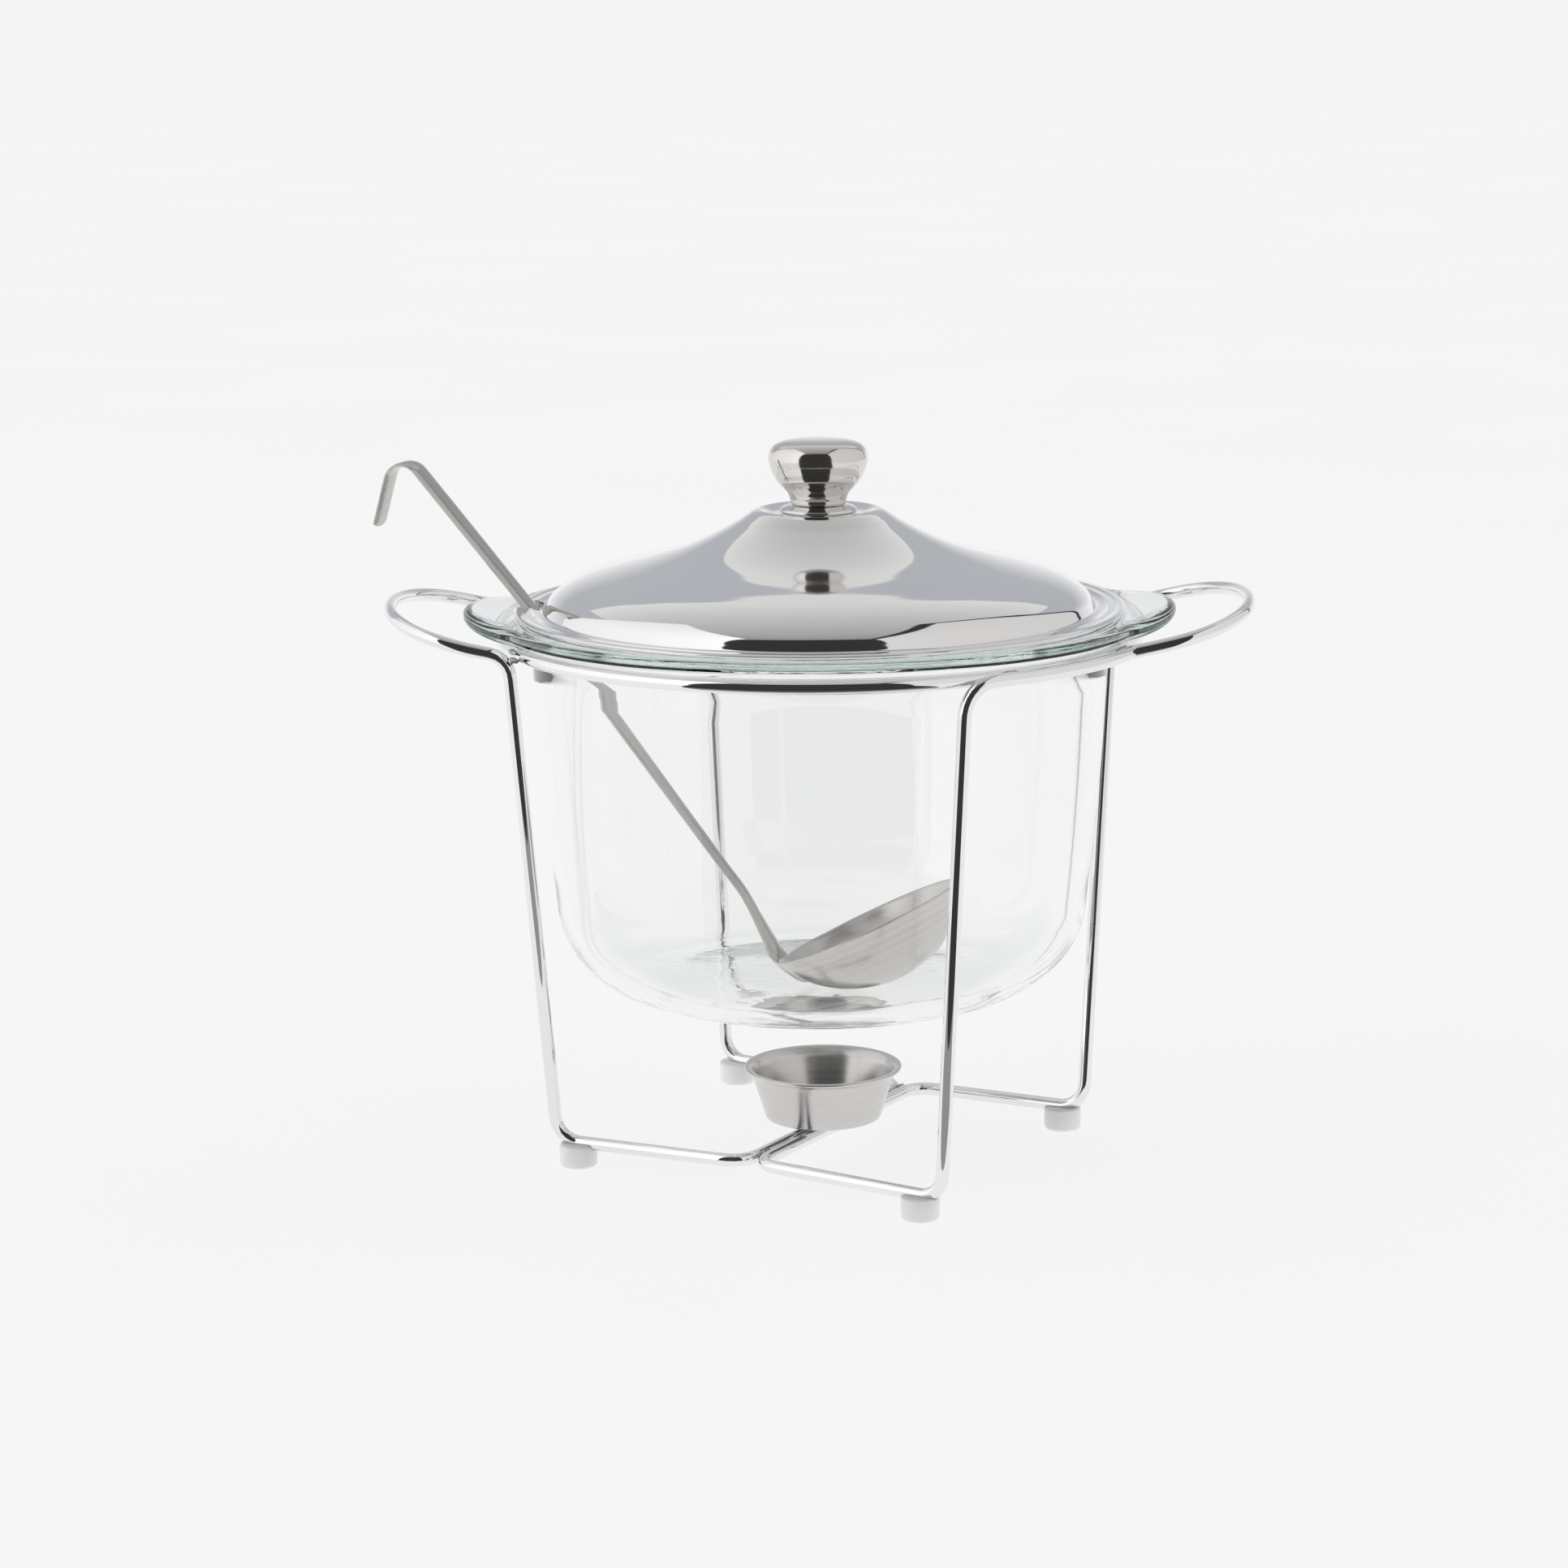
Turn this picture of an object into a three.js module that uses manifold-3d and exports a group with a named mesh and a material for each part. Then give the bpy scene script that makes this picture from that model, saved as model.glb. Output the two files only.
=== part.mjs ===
// Glass soup tureen on a bent-wire stand, with a warmer cup, a steel lid and a ladle.
// Millimetres, +Z up. The origin is the middle of the whole object's length and width, on the surface it
// stands on. The handles point along +X and -X, and -Y is the front. Every piece is drawn round the common
// axis of the ring, the pot, the lid and the knob, which then stands at POT_AXIS_X, because the ladle's
// hook reaches out further than the handles.
import * as THREE from "three";
import { mergeVertices } from "three/addons/utils/BufferGeometryUtils.js";
import Module from "manifold-3d";

const wasm = await Module();
wasm.setup();

// ---- driving dimensions -------------------------------------------------------------------------
const POT_AXIS_X = 3.6;
const GAP = 0.3; // between touching pieces
const LATHE_SIDES = 40;

const WIRE_RADIUS = 2.4;
const WIRE_SIDES = 8;
const RING_RADIUS = 115.2; // centre line
const RING_HEIGHT = 193.5;
const ARM_RADIUS = RING_RADIUS + 2 * WIRE_RADIUS + GAP; // arms lie against the ring's outside
const BASE_HEIGHT = 8.8; // centre line of the wires at the bottom
const SHORT_LEG_AZIMUTH = 114.5; // leg that comes straight down from its handle
const ARM_END_AZIMUTH = 65.5; // where the handle leaves the ring
const HANDLE_REACH = 155.1; // centre line of the handle's tip
const BAR_HALF_LENGTH = 59;
const BAR_CENTRE_X = 3; // the bars sit a little off the axis
const BAR_ANGLE = 59.8; // of the two welded bars, from +X towards +Y
const LEG_BEND = 9;
const TOP_BEND = 11.5;
const BAR_BEND = 9;

const FOOT_RADIUS = 6.85;
const FOOT_HEIGHT = 8.6;
const LONG_LEG_FOOT = [33.6, -91]; // foot centre under the front right leg
const SHORT_LEG_FOOT = [89.9, 22.2]; // foot centre under the back right leg
const SHORT_LEG_STEP = 8.4; // from a foot's centre out to the leg's lower corner
// The two hand-bent wires differ a little at the leg whose wire first follows the ring: its azimuth
// from the front (right wire) or the back (left wire), and the step from its foot to its corner.
const RIGHT_LONG_LEG = { azimuth: 24.2, step: 8.8 };
const LEFT_LONG_LEG = { azimuth: 22, step: 4.8 };

const CUP_RIM_RADIUS = 29.2;
const CUP_MOUTH_RADIUS = 26.9;
const CUP_BASE_RADIUS = 21.8;
const CUP_TOP = 31.4;
const CUP_BOTTOM = BASE_HEIGHT + WIRE_RADIUS + GAP;
const CUP_WALL = 1;

const FLANGE_RADIUS = 118;
const FLANGE_BOTTOM = RING_HEIGHT + WIRE_RADIUS + GAP;
const POT_TOP = 201.9;
const POT_BOTTOM = 62.3;
const POT_FLOOR = 67;
const POT_WALL = 4.2;
const POT_CORNER = 35; // outer radius of the bottom corner
const MOUTH_RADIUS = 108.6;
const EAR_CENTRE = 98; // ellipse that each ear is cut from
const EAR_REACH = 31;
const EAR_HALF_WIDTH = 45;
const EAR_RISE = 3; // the ear's tip stands this much higher than its root

const LID_SHEET = 1;
const LID_RIM_RADIUS = 110.5;
const LID_RIM_TOP = 203.7;
const LID_DOME_RADIUS = 99.3;
const LID_SEAT_HEIGHT = 237.2; // bottom of the dish that the knob stands in
const NOTCH_AZIMUTH = 175.6; // from +X, where the ladle comes out
const NOTCH_WIDTH = 18;
const NOTCH_CORNER = 3;
const NOTCH_BOTTOM_RADIUS = 99.5;

const KNOB_RADIUS = 17.95;
const KNOB_NECK_RADIUS = 10.2;
const KNOB_BOTTOM = 240.5;
const KNOB_TOP = 263.9;
const COLLAR_RADIUS = 14.2;
const SCREW_RADIUS = 2.2;
const SCREW_HOLE_RADIUS = 2.7;
const SCREW_DEPTH = 10; // length of the screw inside the knob

const BOWL_RADIUS = 36;
const BOWL_DEPTH = 24;
const BOWL_SHEET = 1.5;
const BOWL_TILT = 12.15; // degrees between the handle and the bowl's axis
const HANDLE_THICKNESS = 2;
const HANDLE_OFFSET = 2.9; // the straight handle lies this far in from the bowl's rim
const HANDLE_LEAN = 2.7; // the upper handle leans back from the lower by this many degrees
const HANDLE_LEAN_FROM = 125; // where the lean starts and ends, along the handle
const HANDLE_LEAN_TO = 150;
const HANDLE_TOP_WIDTH = 10.2;
const HANDLE_NECK_WIDTH = 6.4;
const HANDLE_LENGTH = 222.4; // from the bowl's rim to the start of the hook
const HOOK_RADIUS = 7;
const HOOK_TURN = 122; // degrees that the hook bends through
const HOOK_END_LENGTH = 19;
const LADLE_NECK = [-13.6, -21.3, 77.1]; // where the handle meets the bowl's rim
const LADLE_RUN = [-93.3, 30.4, 124.1]; // direction that the handle runs up in
const LADLE_TURN = 18; // degrees that the bowl is turned towards the front

// ---- helpers ------------------------------------------------------------------------------------
const radians = THREE.MathUtils.degToRad;

const onCircle = (radius, azimuthFromFront, z) => {
  const a = radians(azimuthFromFront);
  return new THREE.Vector3(radius * Math.sin(a), -radius * Math.cos(a), z);
};

const arcPoints = (cx, cz, radius, from, to, count) =>
  Array.from({ length: count + 1 }, (_, i) => {
    const a = radians(from + ((to - from) * i) / count);
    return [cx + radius * Math.cos(a), cz + radius * Math.sin(a)];
  });

function steel(color, roughness) {
  return new THREE.MeshStandardMaterial({ color, roughness, metalness: 1 });
}

const MATERIALS = {
  wire: () => steel(0xd8d9da, 0.12),
  mirror: () => steel(0xdcdcdc, 0.06),
  satin: () => steel(0xb9b6b2, 0.35),
  screw: () => steel(0xa8a8a8, 0.3),
  glass: () =>
    new THREE.MeshStandardMaterial({
      color: 0xe9f0ec,
      roughness: 0.03,
      metalness: 0,
      transparent: true,
      opacity: 0.3,
    }),
  rubber: () => new THREE.MeshStandardMaterial({ color: 0xd6d4d4, roughness: 0.55, metalness: 0 }),
};

function piece(name, geometry, material) {
  const mesh = new THREE.Mesh(geometry, material);
  mesh.name = name;
  return mesh;
}

// A lathe about Z. The profile is a list of [radius, z] that starts and ends on the axis or closes on itself.
function turned(profile, sides = LATHE_SIDES) {
  const points = profile.map(([r, z]) => new THREE.Vector2(r, z));
  const geometry = new THREE.LatheGeometry(points, sides);
  geometry.rotateX(Math.PI / 2);
  return geometry;
}

function toSolid(geometry) {
  const bare = geometry.clone();
  bare.deleteAttribute("normal");
  bare.deleteAttribute("uv");
  const merged = mergeVertices(bare, 1e-4);
  return new wasm.Manifold(
    new wasm.Mesh({
      numProp: 3,
      vertProperties: new Float32Array(merged.attributes.position.array),
      triVerts: new Uint32Array(merged.index.array),
    }),
  );
}

function fromSolid(solid) {
  const mesh = solid.getMesh();
  const geometry = new THREE.BufferGeometry();
  geometry.setAttribute("position", new THREE.BufferAttribute(mesh.vertProperties, 3));
  geometry.setIndex(new THREE.BufferAttribute(mesh.triVerts, 1));
  geometry.computeVertexNormals();
  return geometry;
}

// A bent wire's centre line as a closed curve that is sampled at its own vertices.
class BentWire extends THREE.Curve {
  constructor(vertices) {
    super();
    this.vertices = vertices;
  }
  at(i) {
    const n = this.vertices.length;
    return this.vertices[((i % n) + n) % n];
  }
  getPointAt(u, target = new THREE.Vector3()) {
    return target.copy(this.at(Math.round(u * this.vertices.length)));
  }
  getTangentAt(u, target = new THREE.Vector3()) {
    const i = Math.round(u * this.vertices.length);
    const before = this.at(i).clone().sub(this.at(i - 1)).normalize();
    const after = this.at(i + 1).clone().sub(this.at(i)).normalize();
    return target.copy(before.add(after).normalize());
  }
}

// Replaces a corner by a circular bend of the given centre-line radius.
function bend(before, corner, after, radius, steps) {
  const a = before.clone().sub(corner).normalize();
  const b = after.clone().sub(corner).normalize();
  const half = Math.acos(THREE.MathUtils.clamp(a.dot(b), -1, 1)) / 2;
  const centre = a.clone().add(b).normalize().multiplyScalar(radius / Math.sin(half)).add(corner);
  const start = corner.clone().addScaledVector(a, radius / Math.tan(half)).sub(centre);
  const axis = new THREE.Vector3().crossVectors(b, a).normalize();
  const sweep = Math.PI - 2 * half;
  return Array.from({ length: steps + 1 }, (_, i) =>
    start.clone().applyAxisAngle(axis, (sweep * i) / steps).add(centre));
}

// ---- stand --------------------------------------------------------------------------------------
const spin = (v) => new THREE.Vector3(-v.x, -v.y, v.z);

// A wire as seen on the right: bar, front right leg, ring arc, handle, back right leg and back to the bar.
function wireRoute(longLeg, barCentreX) {
  const along = new THREE.Vector3(Math.cos(radians(BAR_ANGLE)), Math.sin(radians(BAR_ANGLE)), 0);
  const side = new THREE.Vector3(along.y, -along.x, 0).multiplyScalar(WIRE_RADIUS + GAP / 2);
  const barCentre = new THREE.Vector3(barCentreX, 0, BASE_HEIGHT).add(side);
  const barPoint = (s) => along.clone().multiplyScalar(s).add(barCentre);
  const frontBar = barPoint(-BAR_HALF_LENGTH);
  const backBar = barPoint(BAR_HALF_LENGTH);
  const legCorner = (foot, barEnd, step) => {
    const centre = new THREE.Vector3(foot[0], foot[1], BASE_HEIGHT);
    const out = centre.clone().sub(barEnd).normalize();
    return centre.addScaledVector(out, step);
  };
  const frontCorner = legCorner(LONG_LEG_FOOT, frontBar, longLeg.step);
  const backCorner = legCorner(SHORT_LEG_FOOT, backBar, SHORT_LEG_STEP);
  const frontTop = onCircle(ARM_RADIUS, longLeg.azimuth, RING_HEIGHT);
  const backTop = onCircle(ARM_RADIUS, SHORT_LEG_AZIMUTH, RING_HEIGHT);

  const arcStart = longLeg.azimuth + 7;
  const arcSteps = 6;
  const ringArc = Array.from({ length: arcSteps + 1 }, (_, i) =>
    onCircle(ARM_RADIUS, arcStart + ((ARM_END_AZIMUTH - arcStart) * i) / arcSteps, RING_HEIGHT));
  const armEnd = ringArc[ringArc.length - 1];

  const handle = new THREE.CatmullRomCurve3([
    armEnd,
    new THREE.Vector3(128, -50.5, 197.8),
    new THREE.Vector3(141, -44, 201.2),
    new THREE.Vector3(151, -27, 204),
    new THREE.Vector3(HANDLE_REACH, 0, 205.2),
    new THREE.Vector3(151, 27, 204),
    new THREE.Vector3(141, 44, 201.2),
    new THREE.Vector3(128, 50.5, 197.8),
    backTop.clone().add(new THREE.Vector3(4, 0, 0.6)),
  ]);
  const handlePoints = handle.getPoints(28);

  return [
    ...bend(backBar, frontBar, frontCorner, BAR_BEND, 5),
    ...bend(frontBar, frontCorner, frontTop, LEG_BEND, 5),
    ...bend(frontCorner, frontTop, ringArc[0], TOP_BEND, 5),
    ...ringArc.slice(1, -1),
    ...handlePoints.slice(0, -2),
    ...bend(handlePoints[handlePoints.length - 3], backTop, backCorner, 9, 5),
    ...bend(backTop, backCorner, backBar, LEG_BEND, 5),
    ...bend(backCorner, backBar, frontBar, BAR_BEND, 5),
  ];
}

function wireTube(route, radius) {
  return new THREE.TubeGeometry(new BentWire(route), route.length, radius, WIRE_SIDES, true);
}

function supportRing() {
  const geometry = new THREE.TorusGeometry(RING_RADIUS, WIRE_RADIUS, WIRE_SIDES, 60);
  geometry.translate(0, 0, RING_HEIGHT);
  return geometry;
}

// A soft foot, pushed up on the wire that lies in its grooved top.
function foot([x, y], route) {
  const profile = [
    [0, 0],
    [FOOT_RADIUS - 0.8, 0],
    [FOOT_RADIUS, 0.8],
    [FOOT_RADIUS, FOOT_HEIGHT - 0.6],
    [FOOT_RADIUS - 0.6, FOOT_HEIGHT],
    [0, FOOT_HEIGHT],
  ];
  const body = turned(profile, 20);
  body.translate(x, y, 0);
  return fromSolid(toSolid(body).subtract(toSolid(wireTube(route, WIRE_RADIUS + GAP))));
}

function warmerCup() {
  const lip = CUP_TOP - 1.2;
  const profile = [
    [0, CUP_BOTTOM],
    [CUP_BASE_RADIUS - 3, CUP_BOTTOM],
    [CUP_BASE_RADIUS - 0.9, CUP_BOTTOM + 0.9],
    [CUP_BASE_RADIUS, CUP_BOTTOM + 3],
    [CUP_MOUTH_RADIUS - 0.9, lip - 3],
    [CUP_MOUTH_RADIUS + 0.4, lip - 0.8],
    [CUP_RIM_RADIUS - 0.4, lip],
    [CUP_RIM_RADIUS, lip + 0.6],
    [CUP_RIM_RADIUS - 0.4, CUP_TOP],
    [CUP_MOUTH_RADIUS, CUP_TOP - 0.1],
    [CUP_MOUTH_RADIUS - 0.9 - CUP_WALL, lip - 1.5],
    [CUP_BASE_RADIUS - CUP_WALL, CUP_BOTTOM + 3.6],
    [CUP_BASE_RADIUS - CUP_WALL - 2.4, CUP_BOTTOM + CUP_WALL],
    [0, CUP_BOTTOM + CUP_WALL],
  ];
  return turned(profile, 32);
}

// ---- pot ----------------------------------------------------------------------------------------
// Outer wall radius, slightly tapered, above the bottom corner.
const potWallRadius = (z) => 104.2 - 0.0011 * (190 - z) ** 2 * 0.55 - 0.022 * (190 - z);

function earGeometry(side) {
  const shape = new THREE.Shape();
  shape.absellipse(0, 0, EAR_REACH, EAR_HALF_WIDTH, 0, 2 * Math.PI);
  const thickness = POT_TOP - FLANGE_BOTTOM;
  const edge = 1.4;
  const geometry = new THREE.ExtrudeGeometry(shape, {
    depth: thickness - 2 * edge,
    curveSegments: 18,
    bevelThickness: edge,
    bevelSize: edge,
    bevelOffset: -edge,
    bevelSegments: 2,
  });
  geometry.translate(EAR_CENTRE, 0, FLANGE_BOTTOM + edge);
  const position = geometry.attributes.position;
  for (let i = 0; i < position.count; i += 1) {
    const outward = Math.max(0, position.getX(i) - 108) / (EAR_CENTRE + EAR_REACH - 108);
    position.setZ(i, position.getZ(i) + EAR_RISE * outward ** 1.5);
  }
  if (side < 0) geometry.rotateZ(Math.PI);
  return geometry;
}

function glassPot() {
  const cornerTop = POT_BOTTOM + POT_CORNER;
  const cornerRadius = potWallRadius(cornerTop);
  const outerHeights = [cornerTop + 18, cornerTop + 40, cornerTop + 65, 184];
  const innerCorner = POT_CORNER - POT_WALL;
  const innerCornerZ = POT_FLOOR + innerCorner;
  const body = turned([
    [0, POT_BOTTOM + 0.8],
    [50, POT_BOTTOM + 0.8],
    [53, POT_BOTTOM],
    ...arcPoints(cornerRadius - POT_CORNER, cornerTop, POT_CORNER, -90, -4, 7),
    ...outerHeights.map((z) => [potWallRadius(z), z]),
    [104.6, 192],
    [106.6, 195.6],
    [109, FLANGE_BOTTOM],
    [FLANGE_RADIUS - 0.9, FLANGE_BOTTOM],
    [FLANGE_RADIUS, FLANGE_BOTTOM + 1],
    [FLANGE_RADIUS, POT_TOP - 1.2],
    [FLANGE_RADIUS - 1.1, POT_TOP],
    [MOUTH_RADIUS, POT_TOP],
    [MOUTH_RADIUS - 1.2, POT_TOP - 2],
    [MOUTH_RADIUS - 5, POT_TOP - 7],
    [potWallRadius(184) - POT_WALL + 0.6, 184],
    ...outerHeights.slice(0, -1).reverse().map((z) => [potWallRadius(z) - POT_WALL, z]),
    ...arcPoints(cornerRadius - POT_CORNER, innerCornerZ, innerCorner, -4, -90, 6),
    [0, POT_FLOOR],
  ]);
  const mouth = turned([
    [0, POT_TOP - 20],
    [FLANGE_RADIUS - 5, POT_TOP - 20],
    [FLANGE_RADIUS - 5, POT_TOP + 20],
    [0, POT_TOP + 20],
  ]);
  const inside = toSolid(mouth);
  const ears = [1, -1].map((side) => toSolid(earGeometry(side)).subtract(inside));
  return fromSolid(toSolid(body).add(ears[0]).add(ears[1]));
}

// ---- lid ----------------------------------------------------------------------------------------
// The dome's outer surface from the plateau's edge to the steep shoulder, as [radius, z].
const DOME = [
  [21.5, 238.8],
  [23.6, 238.2],
  [26.5, 236.4],
  [30, 234.1],
  [40, 228.8],
  [50, 224.6],
  [62, 220.9],
  [75, 217.5],
  [84, 214.9],
  [90, 212.5],
  [94.5, 209.9],
  [97.6, 207.2],
  [LID_DOME_RADIUS, 204.2],
];

function domePoints(offset) {
  const curve = new THREE.CatmullRomCurve3(DOME.map(([r, z]) => new THREE.Vector3(r, 0, z)));
  const count = 13;
  return Array.from({ length: count + 1 }, (_, i) => {
    const p = curve.getPoint(i / count);
    const t = curve.getTangent(i / count);
    return [p.x + t.z * offset, p.z - t.x * offset];
  });
}

function lidShell() {
  const outer = domePoints(0).reverse();
  const inner = domePoints(LID_SHEET);
  const rimBottom = POT_TOP + GAP;
  const shell = turned([
    [SCREW_HOLE_RADIUS, LID_SEAT_HEIGHT],
    [SCREW_HOLE_RADIUS, LID_SEAT_HEIGHT - LID_SHEET],
    [16.8, LID_SEAT_HEIGHT - LID_SHEET],
    [19.9, LID_SEAT_HEIGHT + 1.2 - LID_SHEET],
    ...inner,
    [99.2, rimBottom - 1.9],
    [101.4, rimBottom - 2.4],
    [103.6, rimBottom - 1.9],
    [105.4, rimBottom],
    [LID_RIM_RADIUS - 0.2, rimBottom],
    [LID_RIM_RADIUS, LID_RIM_TOP - 0.7],
    [LID_RIM_RADIUS - 0.9, LID_RIM_TOP],
    [104.4, LID_RIM_TOP],
    [103.4, LID_RIM_TOP - 0.9],
    [101.6, LID_RIM_TOP - 1.3],
    [99.9, LID_RIM_TOP - 0.9],
    ...outer,
    [19.6, LID_SEAT_HEIGHT + 1.2],
    [16.5, LID_SEAT_HEIGHT],
    [SCREW_HOLE_RADIUS, LID_SEAT_HEIGHT],
  ]);
  const notch = new THREE.Shape();
  const half = NOTCH_WIDTH / 2;
  notch.moveTo(LID_RIM_RADIUS + 10, -half);
  notch.lineTo(LID_RIM_RADIUS + 10, half);
  const cornerX = NOTCH_BOTTOM_RADIUS + NOTCH_CORNER;
  const cornerY = half - NOTCH_CORNER;
  notch.absarc(cornerX, cornerY, NOTCH_CORNER, Math.PI / 2, Math.PI, false);
  notch.absarc(cornerX, -cornerY, NOTCH_CORNER, Math.PI, (3 * Math.PI) / 2, false);
  notch.closePath();
  const cutter = new THREE.ExtrudeGeometry(notch, { depth: 14, bevelEnabled: false, curveSegments: 6 });
  cutter.translate(0, 0, POT_TOP - 8);
  cutter.rotateZ(radians(NOTCH_AZIMUTH));
  return fromSolid(toSolid(shell).subtract(toSolid(cutter)));
}

function knobCollar() {
  const bottom = LID_SEAT_HEIGHT + GAP;
  const top = KNOB_BOTTOM - GAP;
  return turned([
    [SCREW_HOLE_RADIUS, bottom],
    [COLLAR_RADIUS - 0.8, bottom],
    [COLLAR_RADIUS, bottom + 0.7],
    [COLLAR_RADIUS - 0.5, bottom + 1.5],
    [KNOB_NECK_RADIUS + 0.6, top],
    [SCREW_HOLE_RADIUS, top],
    [SCREW_HOLE_RADIUS, bottom],
  ], 28);
}

function knob() {
  const bore = KNOB_BOTTOM + SCREW_DEPTH + 1;
  return turned([
    [0, bore],
    [SCREW_HOLE_RADIUS, bore],
    [SCREW_HOLE_RADIUS, KNOB_BOTTOM],
    [KNOB_NECK_RADIUS - 0.4, KNOB_BOTTOM],
    [KNOB_NECK_RADIUS, KNOB_BOTTOM + 0.5],
    [12.2, 244],
    [14.8, 247],
    [16.5, 250],
    [17.6, 253],
    [KNOB_RADIUS, 256.2],
    [17.4, 259.3],
    [15.7, 261.6],
    [12.6, 262.9],
    [7, 263.7],
    [0, KNOB_TOP],
  ], 28);
}

const WASHER_THICKNESS = 1;
const WASHER_TOP = LID_SEAT_HEIGHT - LID_SHEET - GAP;

function knobWasher() {
  const bottom = WASHER_TOP - WASHER_THICKNESS;
  return turned([
    [SCREW_HOLE_RADIUS, bottom],
    [7, bottom],
    [7, WASHER_TOP],
    [SCREW_HOLE_RADIUS, WASHER_TOP],
    [SCREW_HOLE_RADIUS, bottom],
  ], 24);
}

// Pan-head screw with a cross recess, put in from under the lid.
function knobScrew() {
  const head = WASHER_TOP - WASHER_THICKNESS - GAP;
  const body = turned([
    [0, head - 3.4],
    [3, head - 3.2],
    [4.6, head - 2],
    [4.8, head],
    [SCREW_RADIUS, head],
    [SCREW_RADIUS, KNOB_BOTTOM + SCREW_DEPTH],
    [0, KNOB_BOTTOM + SCREW_DEPTH],
  ], 20);
  const slot = () => {
    const bar = new THREE.BoxGeometry(5, 1.1, 3.2);
    bar.translate(0, 0, head - 3.4);
    return bar;
  };
  const across = slot();
  across.rotateZ(Math.PI / 2);
  return fromSolid(toSolid(body).subtract(toSolid(slot())).subtract(toSolid(across)));
}

// ---- ladle --------------------------------------------------------------------------------------
// The ladle's own frame: the handle runs up along +Z from the bowl's rim, and the bowl lies towards +X.
const SPHERE_RADIUS = (BOWL_RADIUS ** 2 + BOWL_DEPTH ** 2) / (2 * BOWL_DEPTH);

function ladleBowl() {
  const rimAngle = THREE.MathUtils.radToDeg(Math.asin(BOWL_RADIUS / SPHERE_RADIUS));
  const centreZ = SPHERE_RADIUS - BOWL_DEPTH;
  const inner = SPHERE_RADIUS - BOWL_SHEET;
  const innerRim = THREE.MathUtils.radToDeg(Math.asin((BOWL_RADIUS - BOWL_SHEET) / inner));
  const geometry = turned([
    ...arcPoints(0, centreZ, SPHERE_RADIUS, -90, rimAngle - 90, 7),
    [BOWL_RADIUS + 0.25, 0.6],
    [BOWL_RADIUS - 0.3, 1.1],
    [BOWL_RADIUS - 1.2, 0.8],
    ...arcPoints(0, centreZ, inner, innerRim - 90, -90, 6),
  ], 32);
  geometry.translate(BOWL_RADIUS, 0, 0);
  geometry.rotateY(radians(BOWL_TILT));
  return geometry;
}

// Point at a length along the handle, which is an arc between the two ends of the lean.
function leanPoint(length) {
  const span = HANDLE_LEAN_TO - HANDLE_LEAN_FROM;
  const radius = span / radians(HANDLE_LEAN);
  const angle = Math.min(length - HANDLE_LEAN_FROM, span) / radius;
  const beyond = Math.max(0, length - HANDLE_LEAN_TO);
  return new THREE.Vector2(
    HANDLE_OFFSET - radius * (1 - Math.cos(angle)) - beyond * Math.sin(angle),
    HANDLE_LEAN_FROM + radius * Math.sin(angle) + beyond * Math.cos(angle),
  );
}

// Centre line of the strip in the ladle's XZ plane: the tang that hugs the bowl's outside, the long
// straight handle and the hook.
function handleLine() {
  const standoff = GAP + HANDLE_THICKNESS / 2;
  const tilt = radians(BOWL_TILT);
  const centre = new THREE.Vector2(BOWL_RADIUS, SPHERE_RADIUS - BOWL_DEPTH).rotateAround(new THREE.Vector2(), -tilt);
  const rimAngle = 180 + THREE.MathUtils.radToDeg(Math.acos(BOWL_RADIUS / SPHERE_RADIUS)) - BOWL_TILT;
  const tang = arcPoints(centre.x, centre.y, SPHERE_RADIUS + standoff, rimAngle + 20, rimAngle + 3, 4);
  const neck = [[-1.3, 3.5], [-0.2, 9], [1.2, 17]];
  const lean = leanPoint(HANDLE_LENGTH);
  const turned = (x, z) => new THREE.Vector2(x, z).rotateAround(new THREE.Vector2(), radians(HANDLE_LEAN)).add(lean);
  const hook = arcPoints(-HOOK_RADIUS, 0, HOOK_RADIUS, 0, HOOK_TURN, 8);
  const last = hook[hook.length - 1];
  const heading = radians(90 + HOOK_TURN);
  const end = [last[0] + HOOK_END_LENGTH * Math.cos(heading), last[1] + HOOK_END_LENGTH * Math.sin(heading)];
  const straight = [[HANDLE_OFFSET, 28], [HANDLE_OFFSET, HANDLE_LEAN_FROM]];
  return [
    ...[...tang, ...neck, ...straight].map(([x, z]) => new THREE.Vector2(x, z)),
    ...[0.25, 0.5, 0.75, 1].map((t) => leanPoint(THREE.MathUtils.lerp(HANDLE_LEAN_FROM, HANDLE_LEAN_TO, t))),
    ...[...hook, end].map(([x, z]) => turned(x, z)),
  ];
}

function stripOutline(line, thickness) {
  const normals = line.map((_, i) => {
    const a = line[Math.max(0, i - 1)];
    const b = line[Math.min(line.length - 1, i + 1)];
    const d = b.clone().sub(a).normalize();
    return new THREE.Vector2(-d.y, d.x);
  });
  const offset = (side) => line.map((p, i) => p.clone().addScaledVector(normals[i], (side * thickness) / 2));
  return [...offset(1), ...offset(-1).reverse()];
}

function handleWidth(z) {
  const t = THREE.MathUtils.smoothstep(z, 10, HANDLE_LENGTH - 20);
  const flare = 6 * (1 - THREE.MathUtils.smoothstep(z, -14, 14));
  return HANDLE_NECK_WIDTH + (HANDLE_TOP_WIDTH - HANDLE_NECK_WIDTH) * t + flare;
}

function ladleHandle() {
  const shape = new THREE.Shape(stripOutline(handleLine(), HANDLE_THICKNESS));
  const geometry = new THREE.ExtrudeGeometry(shape, { depth: 1, steps: 2, bevelEnabled: false });
  geometry.translate(0, 0, -0.5);
  geometry.rotateX(Math.PI / 2);
  const position = geometry.attributes.position;
  for (let i = 0; i < position.count; i += 1) {
    position.setY(i, position.getY(i) * handleWidth(position.getZ(i)));
  }
  return geometry;
}

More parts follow.
